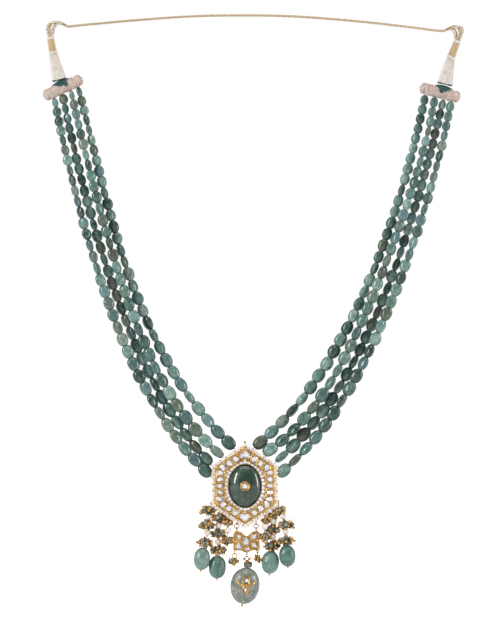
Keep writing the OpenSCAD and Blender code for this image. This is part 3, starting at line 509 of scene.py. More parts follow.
# Cord ends, wraps, tapers and bars
# For each side: bar, taper, curl at the cord's end as runs of spots of the front view, lashing
ENDS = {
    "left": dict(
        bar=(-116.5, -51), slope=25.1, long=26.7, foot=(-118.9, -45.9), neck=(-122.8, -29),
        top=(-124.5, -18.9), wide=(4.2, 2.4, 1.8),
        curl=[
            [(48.6, 36.6), (47.2, 31), (47.3, 26.2), (50, 23.2), (54.4, 22.6), (59, 22.4), (63, 24.2)],
            [(52.4, 36.6), (53.8, 31.6), (54.9, 27.6), (57.4, 24.6), (61, 23.6), (63.6, 24.8)],
            [(50.6, 36.6), (50, 31), (50.6, 26.6), (53, 23.8), (56.6, 22.6), (60.4, 22.8)],
            [(49.6, 36.6), (48.6, 31.5), (49, 27.4), (51.6, 24), (55.4, 23.4), (59.4, 23.6)],
            [(51.6, 36.6), (52.2, 31), (53.2, 27.4), (55.6, 24.4), (59.4, 23.2), (62.6, 24)]],
        tip=[(60.6, 23.4), (63.2, 24.2), (65.6, 25.8)],
        knot=1.6, dips=[2.0, 2.8, 1.2]),
    "right": dict(
        bar=(124.8, -54.2), slope=-14.5, long=26, foot=(127.9, -48.6), neck=(131.6, -32.2),
        top=(135.8, -21.3), wide=(4.5, 2.4, 1.9),
        curl=[
            [(459.6, 40.4), (462.2, 34), (463, 29.2), (460.6, 26.8), (456, 27), (451.4, 28.4), (448.4, 29.6)],
            [(455.6, 40.4), (454.6, 35), (453.4, 31.6), (451, 29.8), (448.2, 29.8)],
            [(457.8, 40.4), (459, 34.6), (458.6, 30), (456, 27.8), (452.2, 28.2)],
            [(458.8, 40.4), (460.6, 34), (461, 30), (458.6, 27.6), (454.4, 27.4)],
            [(456.6, 40.4), (456.8, 35), (456, 31), (453.4, 28.8), (449.6, 29.2)]],
        tip=[(451, 28.6), (448.4, 29.2), (446, 29.9)],
        knot=-1.0, dips=[-0.6, -1.6, 0.6]),
}
BAR_R = 3.5
# Layers wound on a bar: way round, lift, thread radius, turns
BAR_LAYERS = ((1, -0.02, 0.2, 74), (-1, 0.08, 0.17, 46), (1, 0.16, 0.15, 27))
# Depth of a taper over its width
TAPER_FLAT = 0.66
FORE = np.array((0, -1.0, 0))


def plane(xz, y=FRONT):
    """Place in the front plane, or at a depth."""
    return np.array([xz[0], y, xz[1]], float)


def cone_point(a, b, ra, rb, flat, t, angle, out=0.0):
    """Spot on a flattened cone from a to b: angle 0 is to the right, 90 degrees to the front."""
    axis = unit(b - a)
    side = unit(np.cross((0, -1, 0), axis)) * -1
    r = mix(ra, rb, t)
    w = heading(angle)
    normal = unit(w / (1, flat))
    return a + (b - a) * t + side * (w[0] * r + normal[0] * out) + FORE * (w[1] * r * flat + normal[1] * out)


def gold_wrap(side, e):
    """Gold strands laid along the wrap, over a core, with three white turns at each end."""
    a, b = plane(e["neck"]), plane(e["top"])
    low, high = e["wide"][1:]
    soup = Soup()
    strands = 16
    for k in range(strands):
        run = []
        for t in np.linspace(0.02, 0.99, 9):
            ang = 2 * math.pi * k / strands + 0.35 * t
            run.append(cone_point(a, b, low * 0.9, high * 0.92, 0.9, t, ang, 0.12 * math.sin(math.pi * t)))
        tube(soup, run, 0.47, 6, look=strand_look(k, 3, 0.35, 0.4))
    core = [mix(a, b, t) for t in np.linspace(0.02, 0.98, 6)]
    tube(soup, core, [1.75, 1.8, 1.75, 1.7, 1.6, 1.5], 12, look=(0.2, 0, 0))
    for t, r in ((0.05, low), (0.97, high)):
        for d in (-0.045, 0.0, 0.045):
            lean = b - a + np.array((7.5 * d, 0, 0))
            ring(soup, mix(a, b, t + d), r + 0.12, 0.34, lean, 24, 6, look=(0.6, 0, 0.2), slot=1)
    soup.piece(f"gold_wrap_{side}_strands", [GOLD_THREAD, WHITE_CORD], slot="gold_thread",
               replaces=[f"gold_wrap_{side}"])


def cord_curl(side, e):
    """Plied white and gold strands that leave the wrap, bow out and gather on the cord."""
    soup = Soup()
    depth = [0.4, -0.8, -0.3, 0.9, 0.8]
    thick = [0.72, 0.66, 0.42, 0.5, 0.6]
    white, gold = 0, 1
    for k, spots in enumerate(e["curl"]):
        bow = [depth[k] * math.sin(math.pi * i / (len(spots) - 1) * 0.9) for i in range(len(spots))]
        run = smooth([px(x, y, FRONT + out) for (x, y), out in zip(spots, bow)], 6)
        slots = [gold] * 3 if k in (2, 3) else [white, white, gold]
        ends = (np.array([0, 0.2, 0.75, 1]) * lengths(run)[-1], [0.9, 1.05, 0.9, 0.55])
        plied(soup, run, thick[k], 2.6, [(0.35, 0, 0.1), (0.55, 0, 0.3), (0.5, 0, 0.6)], ends, slots)
    # Knots of white thread along the outer strands
    for k in (0, 1):
        run = smooth([px(x, y) for x, y in e["curl"][k]], 4)
        for i, at in enumerate(run[2:-3:2]):
            tone = 0.5 + 0.4 * chance(i, k)
            ball(soup, at + (0, -0.45, 0), (0.5, 0.4, 0.5), 7, 5, look=(tone, 0, chance(i, 3)))
    end = [np.array(px(x, y)) for x, y in e["tip"]]
    tube(soup, end, [0.85, 0.8, 0.5], 8, look=(0.1, 0, 0), slot=gold)
    soup.piece(f"cord_curl_{side}", [WHITE_CORD, GOLD_THREAD], slot="woven_cord")


def woven_taper(side, e):
    """Plaited sleeve: columns of slanted white stitches with fine gold thread between them."""
    a, b = plane(e["foot"]), plane(e["neck"])
    ra, rb = e["wide"][:2]
    soup = Soup()
    cols, rows, ends, sides = 12, 15, 8, 24

    def spot(t, angle, out=0.0, thin=0.0):
        return cone_point(a, b, ra - thin, rb - thin, TAPER_FLAT, t, angle, out)
    core = [[spot(t, q, 0.0, 0.15) for q in around(sides)] for t in np.linspace(0, 1, ends)]
    soup.add(np.array(core).reshape(-1, 3), skin(ends, sides, flip=True), look=(0.45, 0, 0))
    for k in range(cols):
        for j in range(rows):
            t = (j + 0.5) / rows
            for s in (-1, 1):
                q = 2 * math.pi * (k + 0.5 + s * 0.23) / cols
                along = spot(t + 0.45 / rows, q + s * 0.11, 0.06) - spot(t - 0.45 / rows, q - s * 0.11)
                mid = spot(t, q, 0.05)
                w = mix(ra, rb, t) * 0.135
                away = basis(along, spot(t, q, 1.0) - mid)
                ball(soup, mid, (w * 0.8, w, np.linalg.norm(along) * 0.7), 6, 5, away,
                     look=(0.5 + 0.5 * chance(k * 31 + j, 5 + s), 0, chance(j, k)))
    for k in range(cols):
        run = []
        for i in range(rows * 2 + 1):
            way, out = (0.05, 0.0) if i % 2 else (-0.05, 0.3)
            run.append(spot(min(max(i / (rows * 2), 0.01), 0.99), 2 * math.pi * (k + way) / cols, out))
        tube(soup, run, 0.14, 5, look=(0.6, 0, 0.3), slot=1)
    soup.piece(f"woven_taper_{side}_stitches", [WHITE_CORD, GOLD_THREAD], slot="woven_cord",
               replaces=[f"woven_taper_{side}"])


def bar_frame(e):
    """Middle of an end bar, its own direction and the one across it, upwards."""
    a = math.radians(e["slope"])
    along = np.array([math.cos(a), 0, math.sin(a)])
    return plane(e["bar"]), along, np.array([-math.sin(a), 0, math.cos(a)])


def end_bar(side, e):
    """Fat bar wound with metal thread in several loose layers, with a gold core dot at each end."""
    at, along, up = bar_frame(e)
    half = e["long"] / 2
    cap = BAR_R * 0.6
    soup = Soup()

    def spot(u, q, out=0.0):
        past = max(abs(u) - (half - cap), 0) / cap
        r = BAR_R * math.sqrt(max(1 - past * past, 0.0)) + out * (1 - 0.7 * past)
        u += out * past * math.copysign(1, u)
        return at + along * u + r * (up * math.cos(q) + FORE * math.sin(q))
    rows, sides, per_turn = 49, 36, 14
    us = half * np.sin(np.linspace(-math.pi / 2, math.pi / 2, rows))
    core = [[spot(u, a, -0.15) for a in around(sides)] for u in us]
    soup.add(np.array(core).reshape(-1, 3), [ring_quads(rows, sides)], look=(0.3, 0, 0))
    for way, lift, r, turns in BAR_LAYERS:
        n = turns * per_turn
        ang = way * 2 * math.pi * np.arange(n + 1) / per_turn
        u = (2 * np.arange(n + 1) / n - 1) * half * 0.9
        u = u + (0.25 + lift * 4) * np.sin(ang * 0.37 + turns)
        u = u + (0.1 + lift * 2.5) * np.sin(ang * 1.13 + turns)
        u = np.clip(u, -half * 0.93, half * 0.93)
        path = [spot(x, a, lift + 0.1 * math.sin(a * 2.3 + turns)) for x, a in zip(u, ang)]
        tube(soup, path, r, 4, look=(0.55 + lift, 0, lift))
    # Oblique strands on top
    for k in range(44):
        u0 = (chance(k, 21) - 0.5) * half * 1.75
        q0 = chance(k, 22) * 2 * math.pi
        du, dq = 1.6 + 3.2 * chance(k, 23), (0.6 + 1.2 * chance(k, 24)) * (1 if k % 2 else -1)
        run = [spot(min(max(u0 + du * (t - 0.5), -half * 0.94), half * 0.94), q0 + dq * t,
                    0.12 + 0.22 * math.sin(math.pi * t)) for t in np.linspace(0, 1, 9)]
        tube(soup, run, 0.2, 4, look=strand_look(k, 25, 0.25, 0.75))
    # Strands drawn over the rounded ends, with a gold dot in the middle
    for s in (-1, 1):
        for k in range(26):
            q0 = 2 * math.pi * (k + 0.5 * chance(k, 31)) / 26
            inner, outer = half - cap - 0.8, half * 0.998
            run = [spot(s * mix(inner, outer, math.sin(t * math.pi / 2)), q0 + 0.7 * t, 0.08)
                   for t in np.linspace(0, 1, 8)]
            tube(soup, run, 0.2, 4, look=strand_look(k, 32, 0.3, 0.6))
        dot = at + along * s * (half + 0.02) + FORE * 0.5 + up * 0.3
        ball(soup, dot, (0.62, 0.62, 0.5), 10, 6, basis(along), look=(0.5, 0, 0), slot=1)
    soup.piece(f"end_bar_{side}_winding", [ZARI, GOLD], slot="zari_thread", replaces=[f"end_bar_{side}"])


def lashing(side, e):
    """Green thread laid along the bar under the taper, with loops that dip over its front."""
    at, along, up = bar_frame(e)
    foot = plane(e["foot"])
    u0 = np.dot(foot - at, along)
    soup = Soup()

    def spot(u, q, out):
        return at + along * u + (BAR_R + out) * (up * math.cos(q) + FORE * math.sin(q))
    for k in range(17):
        q0 = mix(-1.15, 1.2, k / 16)
        lift = 0.35 + 1.1 * math.cos(q0) ** 2
        reach = 5.6 - 1.3 * abs(q0) + 0.5 * chance(k, 2)
        run = [spot(u0 + t * reach, q0 * (1 - 0.75 * t * t), 0.25 + lift * (1 - t * t) * 0.8)
               for t in np.linspace(-1, 1, 13)]
        tube(soup, run, 0.42, 6, look=strand_look(k, 8, 0.3, 0.5))
    knot = u0 + e["knot"]
    for k, du in enumerate(e["dips"] + [d + 0.5 for d in e["dips"]]):
        low = 1.35 + 0.35 * chance(k, 5)
        way = 1 if k % 2 else -1
        run = []
        for t in np.linspace(0, 1, 11):
            dip = math.sin(math.pi * t)
            run.append(spot(knot + du * 0.4 + 2.2 * (t - 0.5) * way, mix(0.35, low, dip), 0.3 + 0.35 * dip))
        tube(soup, run, 0.4, 6, look=strand_look(k, 18, 0.35, 0.5))
    for k in range(5):
        lean = [chance(k, 61 + i) - 0.5 for i in range(3)]
        ring(soup, spot(knot + 0.8, 0.85, 0.7), 0.85, 0.38, lean, 14, 6, look=(0.4 + 0.1 * k, 0, 0.1 * k))
    wide, narrow = e["wide"][0] + 0.05, e["wide"][1]
    loop = [cone_point(foot, plane(e["neck"]), wide, narrow, TAPER_FLAT, 0.012 * math.sin(3 * a), a)
            for a in around(28)]
    tube(soup, loop, 0.4, 6, closed=True, look=(0.35, 0, 0.5))
    soup.piece(f"lashing_{side}_threads", [GREEN_THREAD], slot="green_thread", replaces=[f"lashing_{side}"])


for side, e in ENDS.items():
    gold_wrap(side, e)
    cord_curl(side, e)
    woven_taper(side, e)
    end_bar(side, e)
    lashing(side, e)

# Bead strings
# Beads on the string, its side of the middle plane, five places that it passes, its place on the frame.
STRINGS = {
    "left_1": (34, -1, [(-122, -57.9), (-105.9, -128.1), (-79.4, -209.5), (-39.3, -281), (-22.2, -299.6)],
               (-19.3, -302.2)),
    "left_2": (32, 1, [(-116.8, -55.3), (-98.8, -131.8), (-69.2, -217.2), (-37.1, -274.2), (-22, -292.4)],
               (-19.3, -295)),
    "left_3": (32, -1, [(-111.4, -53), (-92.4, -130.4), (-65.1, -212.9), (-33, -268.4), (-14.4, -287.2)],
               (-12.1, -289.2)),
    "left_4": (32, 1, [(-106.9, -50.6), (-85.8, -133.8), (-54, -218.6), (-23.7, -264.3), (-7, -281.8)],
               (-5.2, -284.2)),
    "right_1": (32, 1, [(115.5, -55.9), (95.6, -131.6), (61.1, -212.9), (31, -256.9), (5.9, -281.3)],
               (4.1, -283.7)),
    "right_2": (32, -1, [(121.4, -57.6), (100.9, -133.8), (67.8, -215.7), (35.2, -265.9), (12, -285.5)],
               (10.1, -287.7)),
    "right_3": (32, 1, [(126.9, -59), (107.2, -133.1), (77.8, -210.6), (38.2, -272.6), (19.8, -290.4)],
               (17.4, -292.6)),
    "right_4": (33, -1, [(131.8, -60.2), (113.4, -133.1), (84, -210.2), (40.3, -280.7), (20.9, -299.3)],
               (19.3, -301.2)),
}
# Width of the beads at the bar and at the frame, depth over width, gap between two, radius of the hole
BEAD_TOP, BEAD_LOW, BEAD_FLAT, BEAD_GAP, BEAD_HOLE = 5.2, 7.4, 0.64, -0.1, 0.42
# Shares of the beads that are dark, pale, cool and warm
DARK, PALE, COOL, WARM = 0.18, 0.1, 0.38, 0.18
STRING_R = 0.26
THREAD_NODES = {"left": ["thread_left_2", "thread_left_3", "thread_left_4"],
                "right": ["thread_right_1", "thread_right_2"]}


def string_knots(row):
    """Ends of the beads of a string, on one smooth curve through its five places."""
    beads, side, path = row[:3]
    p = np.array(path, float)
    t = lengths(p)
    t = t / t[-1]
    at = np.linspace(0, 1, 97)
    x, z = 0, 0
    for i in range(len(t)):
        share = np.prod([(at - t[j]) / (t[i] - t[j]) for j in range(len(t)) if j != i], axis=0)
        x, z = x + share * p[i][0], z + share * p[i][1]
    y = mix(FRONT, FRONT + 0.7, at) + side * np.interp(at, [0, 0.3, 0.7, 1], [1.3, 2.1, 2.6, 1.4])
    line = np.stack([x, y, z], 1)
    u = np.arange(beads + 1) / beads
    return walk(line, lengths(line)[-1] * (0.75 * u + 0.25 * u * u))


def turn_z(a):
    return np.array([[math.cos(a), -math.sin(a), 0], [math.sin(a), math.cos(a), 0], [0, 0, 1]])


def turn_y(a):
    return np.array([[math.cos(a), 0, math.sin(a)], [0, 1, 0], [-math.sin(a), 0, math.cos(a)]])


def bead_roll(i, number):
    """Most beads lie flat to the front, and a few stand on edge, as their solids do."""
    lean = 2 * chance(i, number) - 1
    return math.radians(90 * math.copysign(lean * lean, lean))


def bead_mesh(soup, a, b, w, roll, i, number):
    """Polished oval bead, a little uneven, with blunt drilled ends and painted shade that darkens its rim and
    ends.
    """
    sides, rows = 22, 13
    half = (np.linalg.norm(b - a) - BEAD_GAP) / 2
    d = unit(b - a)
    turn, tip = math.atan2(d[1], d[0]), math.acos(d[2])
    turned = turn_z(turn) @ turn_y(tip) @ turn_z(roll)
    c = [chance(i + 1, number + 11 * k) for k in range(12)]
    w *= 1.0 + 0.12 * c[8]
    q = around(sides)
    blunt = 0.9 + 0.06 * c[0]
    full = 2.0 + 0.45 * c[1]
    rings, painted_rim_shade = [], []
    zs = np.sin(np.linspace(-1, 1, rows) * math.pi / 2)
    for z in np.concatenate([[-1.0], zs, [1.0]]):
        r = (1 - abs(z * blunt) ** full) ** 0.5 * (1 + 0.07 * (c[3] - 0.5) * z * 2)
        bulge = 1 + 0.03 * np.cos(2 * q + 6 * c[4]) + 0.035 * np.cos(3 * q + 6 * c[5] + z)
        reach = w / 2 * r * bulge
        rings.append(oval(q, reach, reach * BEAD_FLAT, z * half))
        # Painted shade: the tone falls towards the bead's rim and its ends, where it turns away from the
        # front.
        painted_rim_shade.append(np.maximum(np.abs(r * np.cos(q)), abs(z) ** 1.5) ** 4)
    for k, end in ((0, -1), (-1, 1)):
        rings[k] = oval(q, BEAD_HOLE, BEAD_HOLE, end * half * 0.985)
    local = np.concatenate(rings)
    tone = 0.24 + 0.6 * c[6] + (0.08 if number > 4 else 0.0)
    if c[7] < DARK:
        tone *= 0.3
    if c[7] > 1 - PALE:
        tone = 0.86
    tint = 0.0
    if c[9] > 1 - COOL:
        tint = 0.9 * (c[9] - 0.5)
    if c[10] > 1 - WARM:
        tint = -0.38
    soup.add((a + b) / 2 + local @ turned.T, [ring_quads(rows + 2, sides)],
             look=(tone, tint, chance(i, number + 90)), spot=local, dim=0.26 * np.concatenate(painted_rim_shade))


def bead_strings():
    """Eight strings of beads, each with its thread up to the bar and down to the frame."""
    threads = {"left": Soup(), "right": Soup()}
    for number, (name, row) in enumerate(STRINGS.items(), start=1):
        knots = string_knots(row)
        n = row[0]
        soup = Soup()
        for i in range(n):
            w = mix(BEAD_TOP, BEAD_LOW, min(1, i / (n * 0.8)))
            bead_mesh(soup, knots[i], knots[i + 1], w, bead_roll(i, number), i, number)
        soup.piece(f"beads_{name}", [EMERALD], slot="emerald", replaces=[f"strand_{name}"])
        side = name.split("_")[0]
        at, along, up = bar_frame(ENDS[side])
        start = at + along * np.dot(knots[0] - at, along) - up * (BAR_R - 0.4)
        end = np.array([row[3][0], knots[-1][1], row[3][1]])
        line = np.concatenate([[start], knots, [end + unit(end - knots[-1]) * 0.4]])
        tube(threads[side], line, STRING_R, 6, look=(0.4, 0, 0.1 * number))
        back = unit(knots[0] - knots[1])
        for k in range(2):
            ball(threads[side], knots[0] + back * 0.3 * (k + 0.5), (0.5, 0.5, 0.35), 8, 5, look=(0.3, 0, 0))
    for side, soup in threads.items():
        soup.piece(f"threads_{side}", [DARK_THREAD], slot="green_thread", replaces=THREAD_NODES[side])


bead_strings()

# Pendant frame
FRAME_C = np.array([0, -305.8])
OUTER, INNER = (19.05, 24.7, 12.2), (13.0, 17.5, 8.7)
FRAME_Y = -78.6
CENTRE_HALF = (10.5, 13.8)
# Cells along each of the frame's six sides
CELLS = (5, 4, 4, 5, 4, 4)


def hexagon(hw, hh, corner):
    """Six corners round the frame's middle: half width, half height, height of the side corners."""
    return FRAME_C + np.array([(hw, -corner), (hw, corner), (0, hh), (-hw, corner), (-hw, -corner), (0, -hh)])


def grown(shape, out):
    """Hexagon of a shape, moved out by a width."""
    return hexagon(shape[0] + out, shape[1] + out * 1.25, shape[2] + out * 0.5)


def at_y(xz, y):
    """Places of the front view at a depth."""
    xz = np.asarray(xz, float)
    return np.stack([xz[..., 0], np.broadcast_to(y, xz.shape[:-1]), xz[..., 1]], -1)


def edge_run(corners, step):
    """Points along a closed outline, about step apart."""
    out = []
    for a, b in zip(corners, np.roll(corners, -1, axis=0)):
        n = max(int(round(np.linalg.norm(b - a) / step)), 1)
        out += [mix(a, b, k / n) for k in range(n)]
    return np.array(out)


def ray_out(corners, start, angle):
    """Distance from start to a closed outline along an angle."""
    d = heading(angle)
    best = 1e9
    for corner, after in zip(corners, np.roll(corners, -1, axis=0)):
        p, e = corner - start, after - corner
        den = d[0] * e[1] - d[1] * e[0]
        if abs(den) > 1e-9:
            s, t = (p[0] * e[1] - p[1] * e[0]) / den, (p[0] * d[1] - p[1] * d[0]) / den
            if s > 1e-6 and -1e-6 <= t <= 1 + 1e-6:
                best = min(best, s)
    return best


def stone(soup, outline, y_seat, rise, seed, table=0.52, facet_light_shift=0.0):
    """Flat-backed stone with a girdle, uneven crown facets and a table; each facet has its own tone, a
    painted reflection: the table is painted brightest and the girdle dark.
    """
    o = np.asarray(outline, float)
    n = len(o)
    c = o.mean(0)
    shift = (np.array([chance(seed, 41), chance(seed, 42)]) - 0.5) * 0.18 * np.ptp(o, axis=0)
    seat, girdle = at_y(o, y_seat), at_y(o, y_seat - rise * 0.35)
    m = n // 2
    uneven = np.array([[0.9 + 0.2 * chance(seed + k, 43)] for k in range(m)])
    top = at_y(c + shift + (o[1::2] - c) * table * uneven, y_seat - rise)

    def facet(points, tone):
        points = np.array(points)
        soup.add(points, [[list(range(len(points)))]], look=(tone + facet_light_shift, 0, chance(seed, 44)), spot=points)
    for k in range(n):
        # Painted reflection: seat and girdle facets dark, crown facets at random, the table nearly white.
        j = (k + 1) % n
        facet([seat[k], seat[j], girdle[j], girdle[k]], 0.25)
    for k in range(m):
        j = (k + 1) % m
        a, b, d = girdle[2 * k], girdle[2 * k + 1], girdle[(2 * k + 2) % n]
        shade = [chance(seed * 13 + k, 45 + i) for i in range(3)]
        facet([a, b, top[k]], 0.02 + 0.75 * shade[0])
        facet([b, d, top[k]], 0.12 + 0.8 * shade[1])
        facet([d, top[j], top[k]], 0.45 + 0.55 * shade[2])
    facet(top, 0.84 + 0.16 * chance(seed, 48))


def fill_cell(soup, corners, centre, reach):
    """Gold drawn up round a stone: from the cell's straight edge over a soft ridge down to the stone."""
    sides = 24
    rows = []
    for share, lift in ((1.0, 0.02), (0.62, -0.2), (0.25, -0.16), (0.0, 0.3)):
        for a in around(sides):
            near = reach(a)
            far = max(ray_out(corners, centre, a) * 1.04, near + 0.15)
            rows.append(at_y(centre + heading(a) * mix(near, far, share), FRAME_Y + lift))
    soup.add(rows, [ring_quads(4, sides)[:, ::-1]], look=(0.5, 0, 0))


def band(e, u, v):
    """Place on side e of the frame: u along the side, v from its outer to its inner edge."""
    outer, inner = hexagon(*OUTER), hexagon(*INNER)
    f = (e + 1) % 6
    return mix(mix(outer[e], outer[f], u), mix(inner[e], inner[f], u), v)


def quad_cell(e, k):
    """Corners of a cell, half a wall in from its neighbours."""
    long = np.linalg.norm(band(e, 1, 0.5) - band(e, 0, 0.5))
    du, dv = 0.3 / long, 0.6 / (OUTER[0] - INNER[0])
    u0, u1 = k / CELLS[e] + du, (k + 1) / CELLS[e] - du
    return np.array([band(e, u0, dv), band(e, u1, dv), band(e, u1, 1 - dv), band(e, u0, 1 - dv)])


# Stone in the top and bottom corner of the frame: half width and height, height of its middle, outline
CORNER_STONE = (3.4, 2.3)
CORNER_UP = 20.1
CORNER_HALF = [(0.3, -0.95), (0.7, -1), (0.98, -0.7), (1, -0.15), (0.72, 0.4), (0.38, 0.88)]
CORNER_OUTLINE = [(0, -0.8)] + CORNER_HALF + [(0, 1)] + [(-x, z) for x, z in CORNER_HALF[::-1]]


def corner_stones(stones, collars):
    """The wide stone in the top and bottom corner, each with a collar."""
    wide, tall = CORNER_STONE
    for up in (-1, 1):
        def loop(grow):
            w, h = wide * grow, tall * grow
            return [FRAME_C + (x * w, up * (CORNER_UP + z * h)) for x, z in CORNER_OUTLINE]
        stone(stones, loop(1), FRAME_Y + 0.16, 0.95, 300 + up, 0.6)
        tube(collars, at_y(loop(1.06), FRAME_Y - 0.02), 0.2, 6, closed=True)


def cell_stones(stones, collars):
    """One stone with its collar in each cell, but for the cells under the wide corner stones."""
    seed = 0
    for e, k in [(e, k) for e in range(6) for k in range(CELLS[e])]:
        seed += 1
        q = quad_cell(e, k)
        if abs(q[:, 0].mean() - FRAME_C[0]) < CORNER_STONE[0]:
            continue
        c = q.mean(0)
        along = mix(q[1], q[2], 0.5) - mix(q[0], q[3], 0.5)
        across = mix(q[2], q[3], 0.5) - mix(q[0], q[1], 0.5)
        u, v = unit(along), unit(across)
        hu = np.linalg.norm(along) * (0.472 + 0.02 * chance(seed, 31))
        hv = np.linalg.norm(across) * (0.468 + 0.02 * chance(seed, 32))
        lean = (chance(seed, 33) - 0.5) * 0.22

        def reach(a):
            x, y = np.dot(heading(a), u), np.dot(heading(a), v)
            return 1 / ((abs(x / hu) ** 3 + abs(y / hv) ** 3) ** (1 / 3)) * (1 + lean * x * y * 2)
        outline = [c + reach(a) * 1.02 * heading(a) for a in around(12) + 0.3 * chance(seed, 34)]
        stone(stones, outline, FRAME_Y + 1.0, 1.35, seed)
        fill_cell(collars, q, c, reach)


def frame_walls(collars):
    """Rims round both hexagons and the walls between the cells."""
    for shape, r, out in ((OUTER, 0.5, -0.42), (OUTER, 0.26, -1.05), (INNER, 0.34, 0.05)):
        run = edge_run(grown(shape, out), 0.8)
        wave = 1 + 0.07 * np.sin(np.arange(len(run)) * 2.4)
        tube(collars, at_y(run, FRAME_Y + 0.02), r * wave, 8, closed=True)
    for e in range(6):
        for k in range(0 if e in (2, 5) else 1, CELLS[e]):
            run = [band(e, k / CELLS[e], t) for t in np.linspace(0.1, 0.95, 6)]
            tube(collars, at_y(run, FRAME_Y - 0.02), 0.3, 6)


def frame_front():
    """Stones and gold walls of the frame's six sides."""
    stones, collars = Soup(), Soup()
    corner_stones(stones, collars)
    cell_stones(stones, collars)
    stones.piece("frame_stones", [POLKI], slot="polki", replaces=["frame_polki"], flat=True)
    frame_walls(collars)
    collars.piece("frame_collars", [GOLD_FOIL], slot="gold")


def oval_ring():
    """Small stones between the oval and the inner wall, in a gold bed."""
    small, bed = Soup(), Soup()
    inner = hexagon(INNER[0] - 0.15, INNER[1] - 0.2, INNER[2])
    ell = (CENTRE_HALF[0] + 0.12, CENTRE_HALF[1] + 0.12)

    def oval_out(a):
        return 1 / math.sqrt((math.cos(a) / ell[0]) ** 2 + (math.sin(a) / ell[1]) ** 2)
    sides = 120
    rows = [[FRAME_C + heading(a) * (oval_out(a) + 0.2) for a in around(sides)],
            [FRAME_C + heading(a) * ray_out(inner, FRAME_C, a) for a in around(sides)]]
    bed.add(at_y(rows, FRAME_Y + 0.15).reshape(-1, 3), [ring_quads(2, sides)], look=(0.5, 0, 0))
    count, deep = 34, 2.35
    # Even steps along the oval
    fine = np.linspace(0, 2 * math.pi, 721)
    loop = np.stack([np.cos(fine) * (ell[0] + deep / 2), np.sin(fine) * (ell[1] + deep / 2)], 1)
    run = lengths(loop)
    step = run[-1] / count
    for k in range(count):
        s = step * (k + 0.5)
        a = math.atan2(np.interp(s, run, loop[:, 1]), np.interp(s, run, loop[:, 0]))
        d = heading(a)
        side = np.array([-d[1], d[0]])
        lo, hi = oval_out(a), ray_out(inner, FRAME_C, a)
        mid = min(lo + deep, hi)
        for j, (r0, r1, share) in enumerate(((lo, mid, 1.0), (mid, hi, 0.85))):
            if r1 - r0 < 0.8:
                continue
            c = FRAME_C + d * (r0 + r1) / 2
            hr, ht = (r1 - r0) / 2 - 0.08, step / 2 * share - 0.12
            ang = around(10) + (chance(k, 51) - 0.5) * 0.5
            x, z = np.cos(ang), np.sin(ang)
            blunt = (np.abs(x) ** 3 + np.abs(z) ** 3) ** (-1 / 3)
            outline = c + (x * blunt * ht)[:, None] * side + (z * blunt * hr)[:, None] * d
            stone(small, outline, FRAME_Y + 0.2, 0.85, 200 + k * 3 + j, 0.62, 0.16)
            tube(bed, at_y(c + (outline - c) * 1.06, FRAME_Y + 0.02), 0.12, 5, closed=True)
    small.piece("ring_stones", [POLKI], slot="polki", replaces=["ring_polki"], flat=True)
    bed.piece("ring_bed", [GOLD_FOIL], slot="gold")


# Distance between two seed pearls, and the height over the frame's middle where they end at the spike
SEED_PEARL_STEP = 2.12
SPIKE_FOOT = 27.4


def seed_pearls():
    """Seed pearls in groups of two or three, with a gold pin between groups, and the spike at the top."""
    pearls, pins = Soup(), Soup()
    rim = hexagon(OUTER[0] + 1.3, OUTER[1] + 1.3 * 1.24, OUTER[2] + 1.3 * 0.53)
    run = edge_run(rim, SEED_PEARL_STEP)
    group, left = 0, 2
    for k, p in enumerate(run):
        if p[1] > FRAME_C[1] + SPIKE_FOOT:
            continue
        r = 1.02 + 0.07 * chance(k, 72)
        shift, depth = 0.15 * (chance(k, 73) - 0.5), 0.55 + 0.35 * (chance(k, 71) - 0.5)
        at = at_y(p + unit(p - FRAME_C) * shift, FRAME_Y + depth)
        ball(pearls, at, (r, r, r * 0.95), 14, 9, look=(0.5, 0, chance(k, 74)))
        left -= 1
        m = mix(p, run[(k + 1) % len(run)], 0.5)
        o = unit(m - FRAME_C)
        if left <= 0:
            group += 1
            left = 2 + (group % 2)
            pin = [m + o * reach for reach in (-1.5, -0.2, 0.7, 1.0)]
            tube(pins, at_y(pin, FRAME_Y + 0.45), [0.36, 0.24, 0.24, 0.08], 6)
            ball(pins, at_y(m - o * 0.85, FRAME_Y + 0.1), 0.42, 8, 5)
        else:
            ball(pins, at_y(m - o * 0.95, FRAME_Y + 0.2), 0.36, 8, 5)
    tip = FRAME_C + (0, OUTER[1])
    spike = [tip + (0, up) for up in (-0.6, 1.0, 2.4, 3.3)]
    tube(pins, at_y(spike, FRAME_Y + 0.7), [0.75, 0.5, 0.32, 0.08], 8)
    ball(pins, at_y(tip + (0, 0.7), FRAME_Y + 0.5), 0.75, 10, 6)
    pearls.piece("seed_pearls", [PEARL], slot="pearl", replaces=["pearl_border"])
    pins.piece("pearl_pins", [GOLD], slot="gold")


frame_front()
oval_ring()
seed_pearls()


def frame_back():
    """Rim wire, two oval wires and a row of gold balls on the plain back of the frame."""
    back = max(c[1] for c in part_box("frame")) / MM
    wires = Soup()
    for inset, r in ((1.0, 0.55), (2.3, 0.32)):
        tube(wires, at_y(edge_run(grown(OUTER, -inset), 1.0), back), r, 8, closed=True)
    for reach, r in ((0.6, 0.55), (2.1, 0.32)):
        loop = [FRAME_C + heading(a) * (CENTRE_HALF[0] + reach, CENTRE_HALF[1] + reach) for a in around(96)]
        tube(wires, at_y(loop, back), r, 8, closed=True)
    for x, z in edge_run(grown(OUTER, -4.0), 2.0):
        ball(wires, (x, back, z), (0.7, 0.55, 0.7), 12, 7)
    wires.piece("frame_back_wires", [GOLD_BEAD], slot="gold")


frame_back()


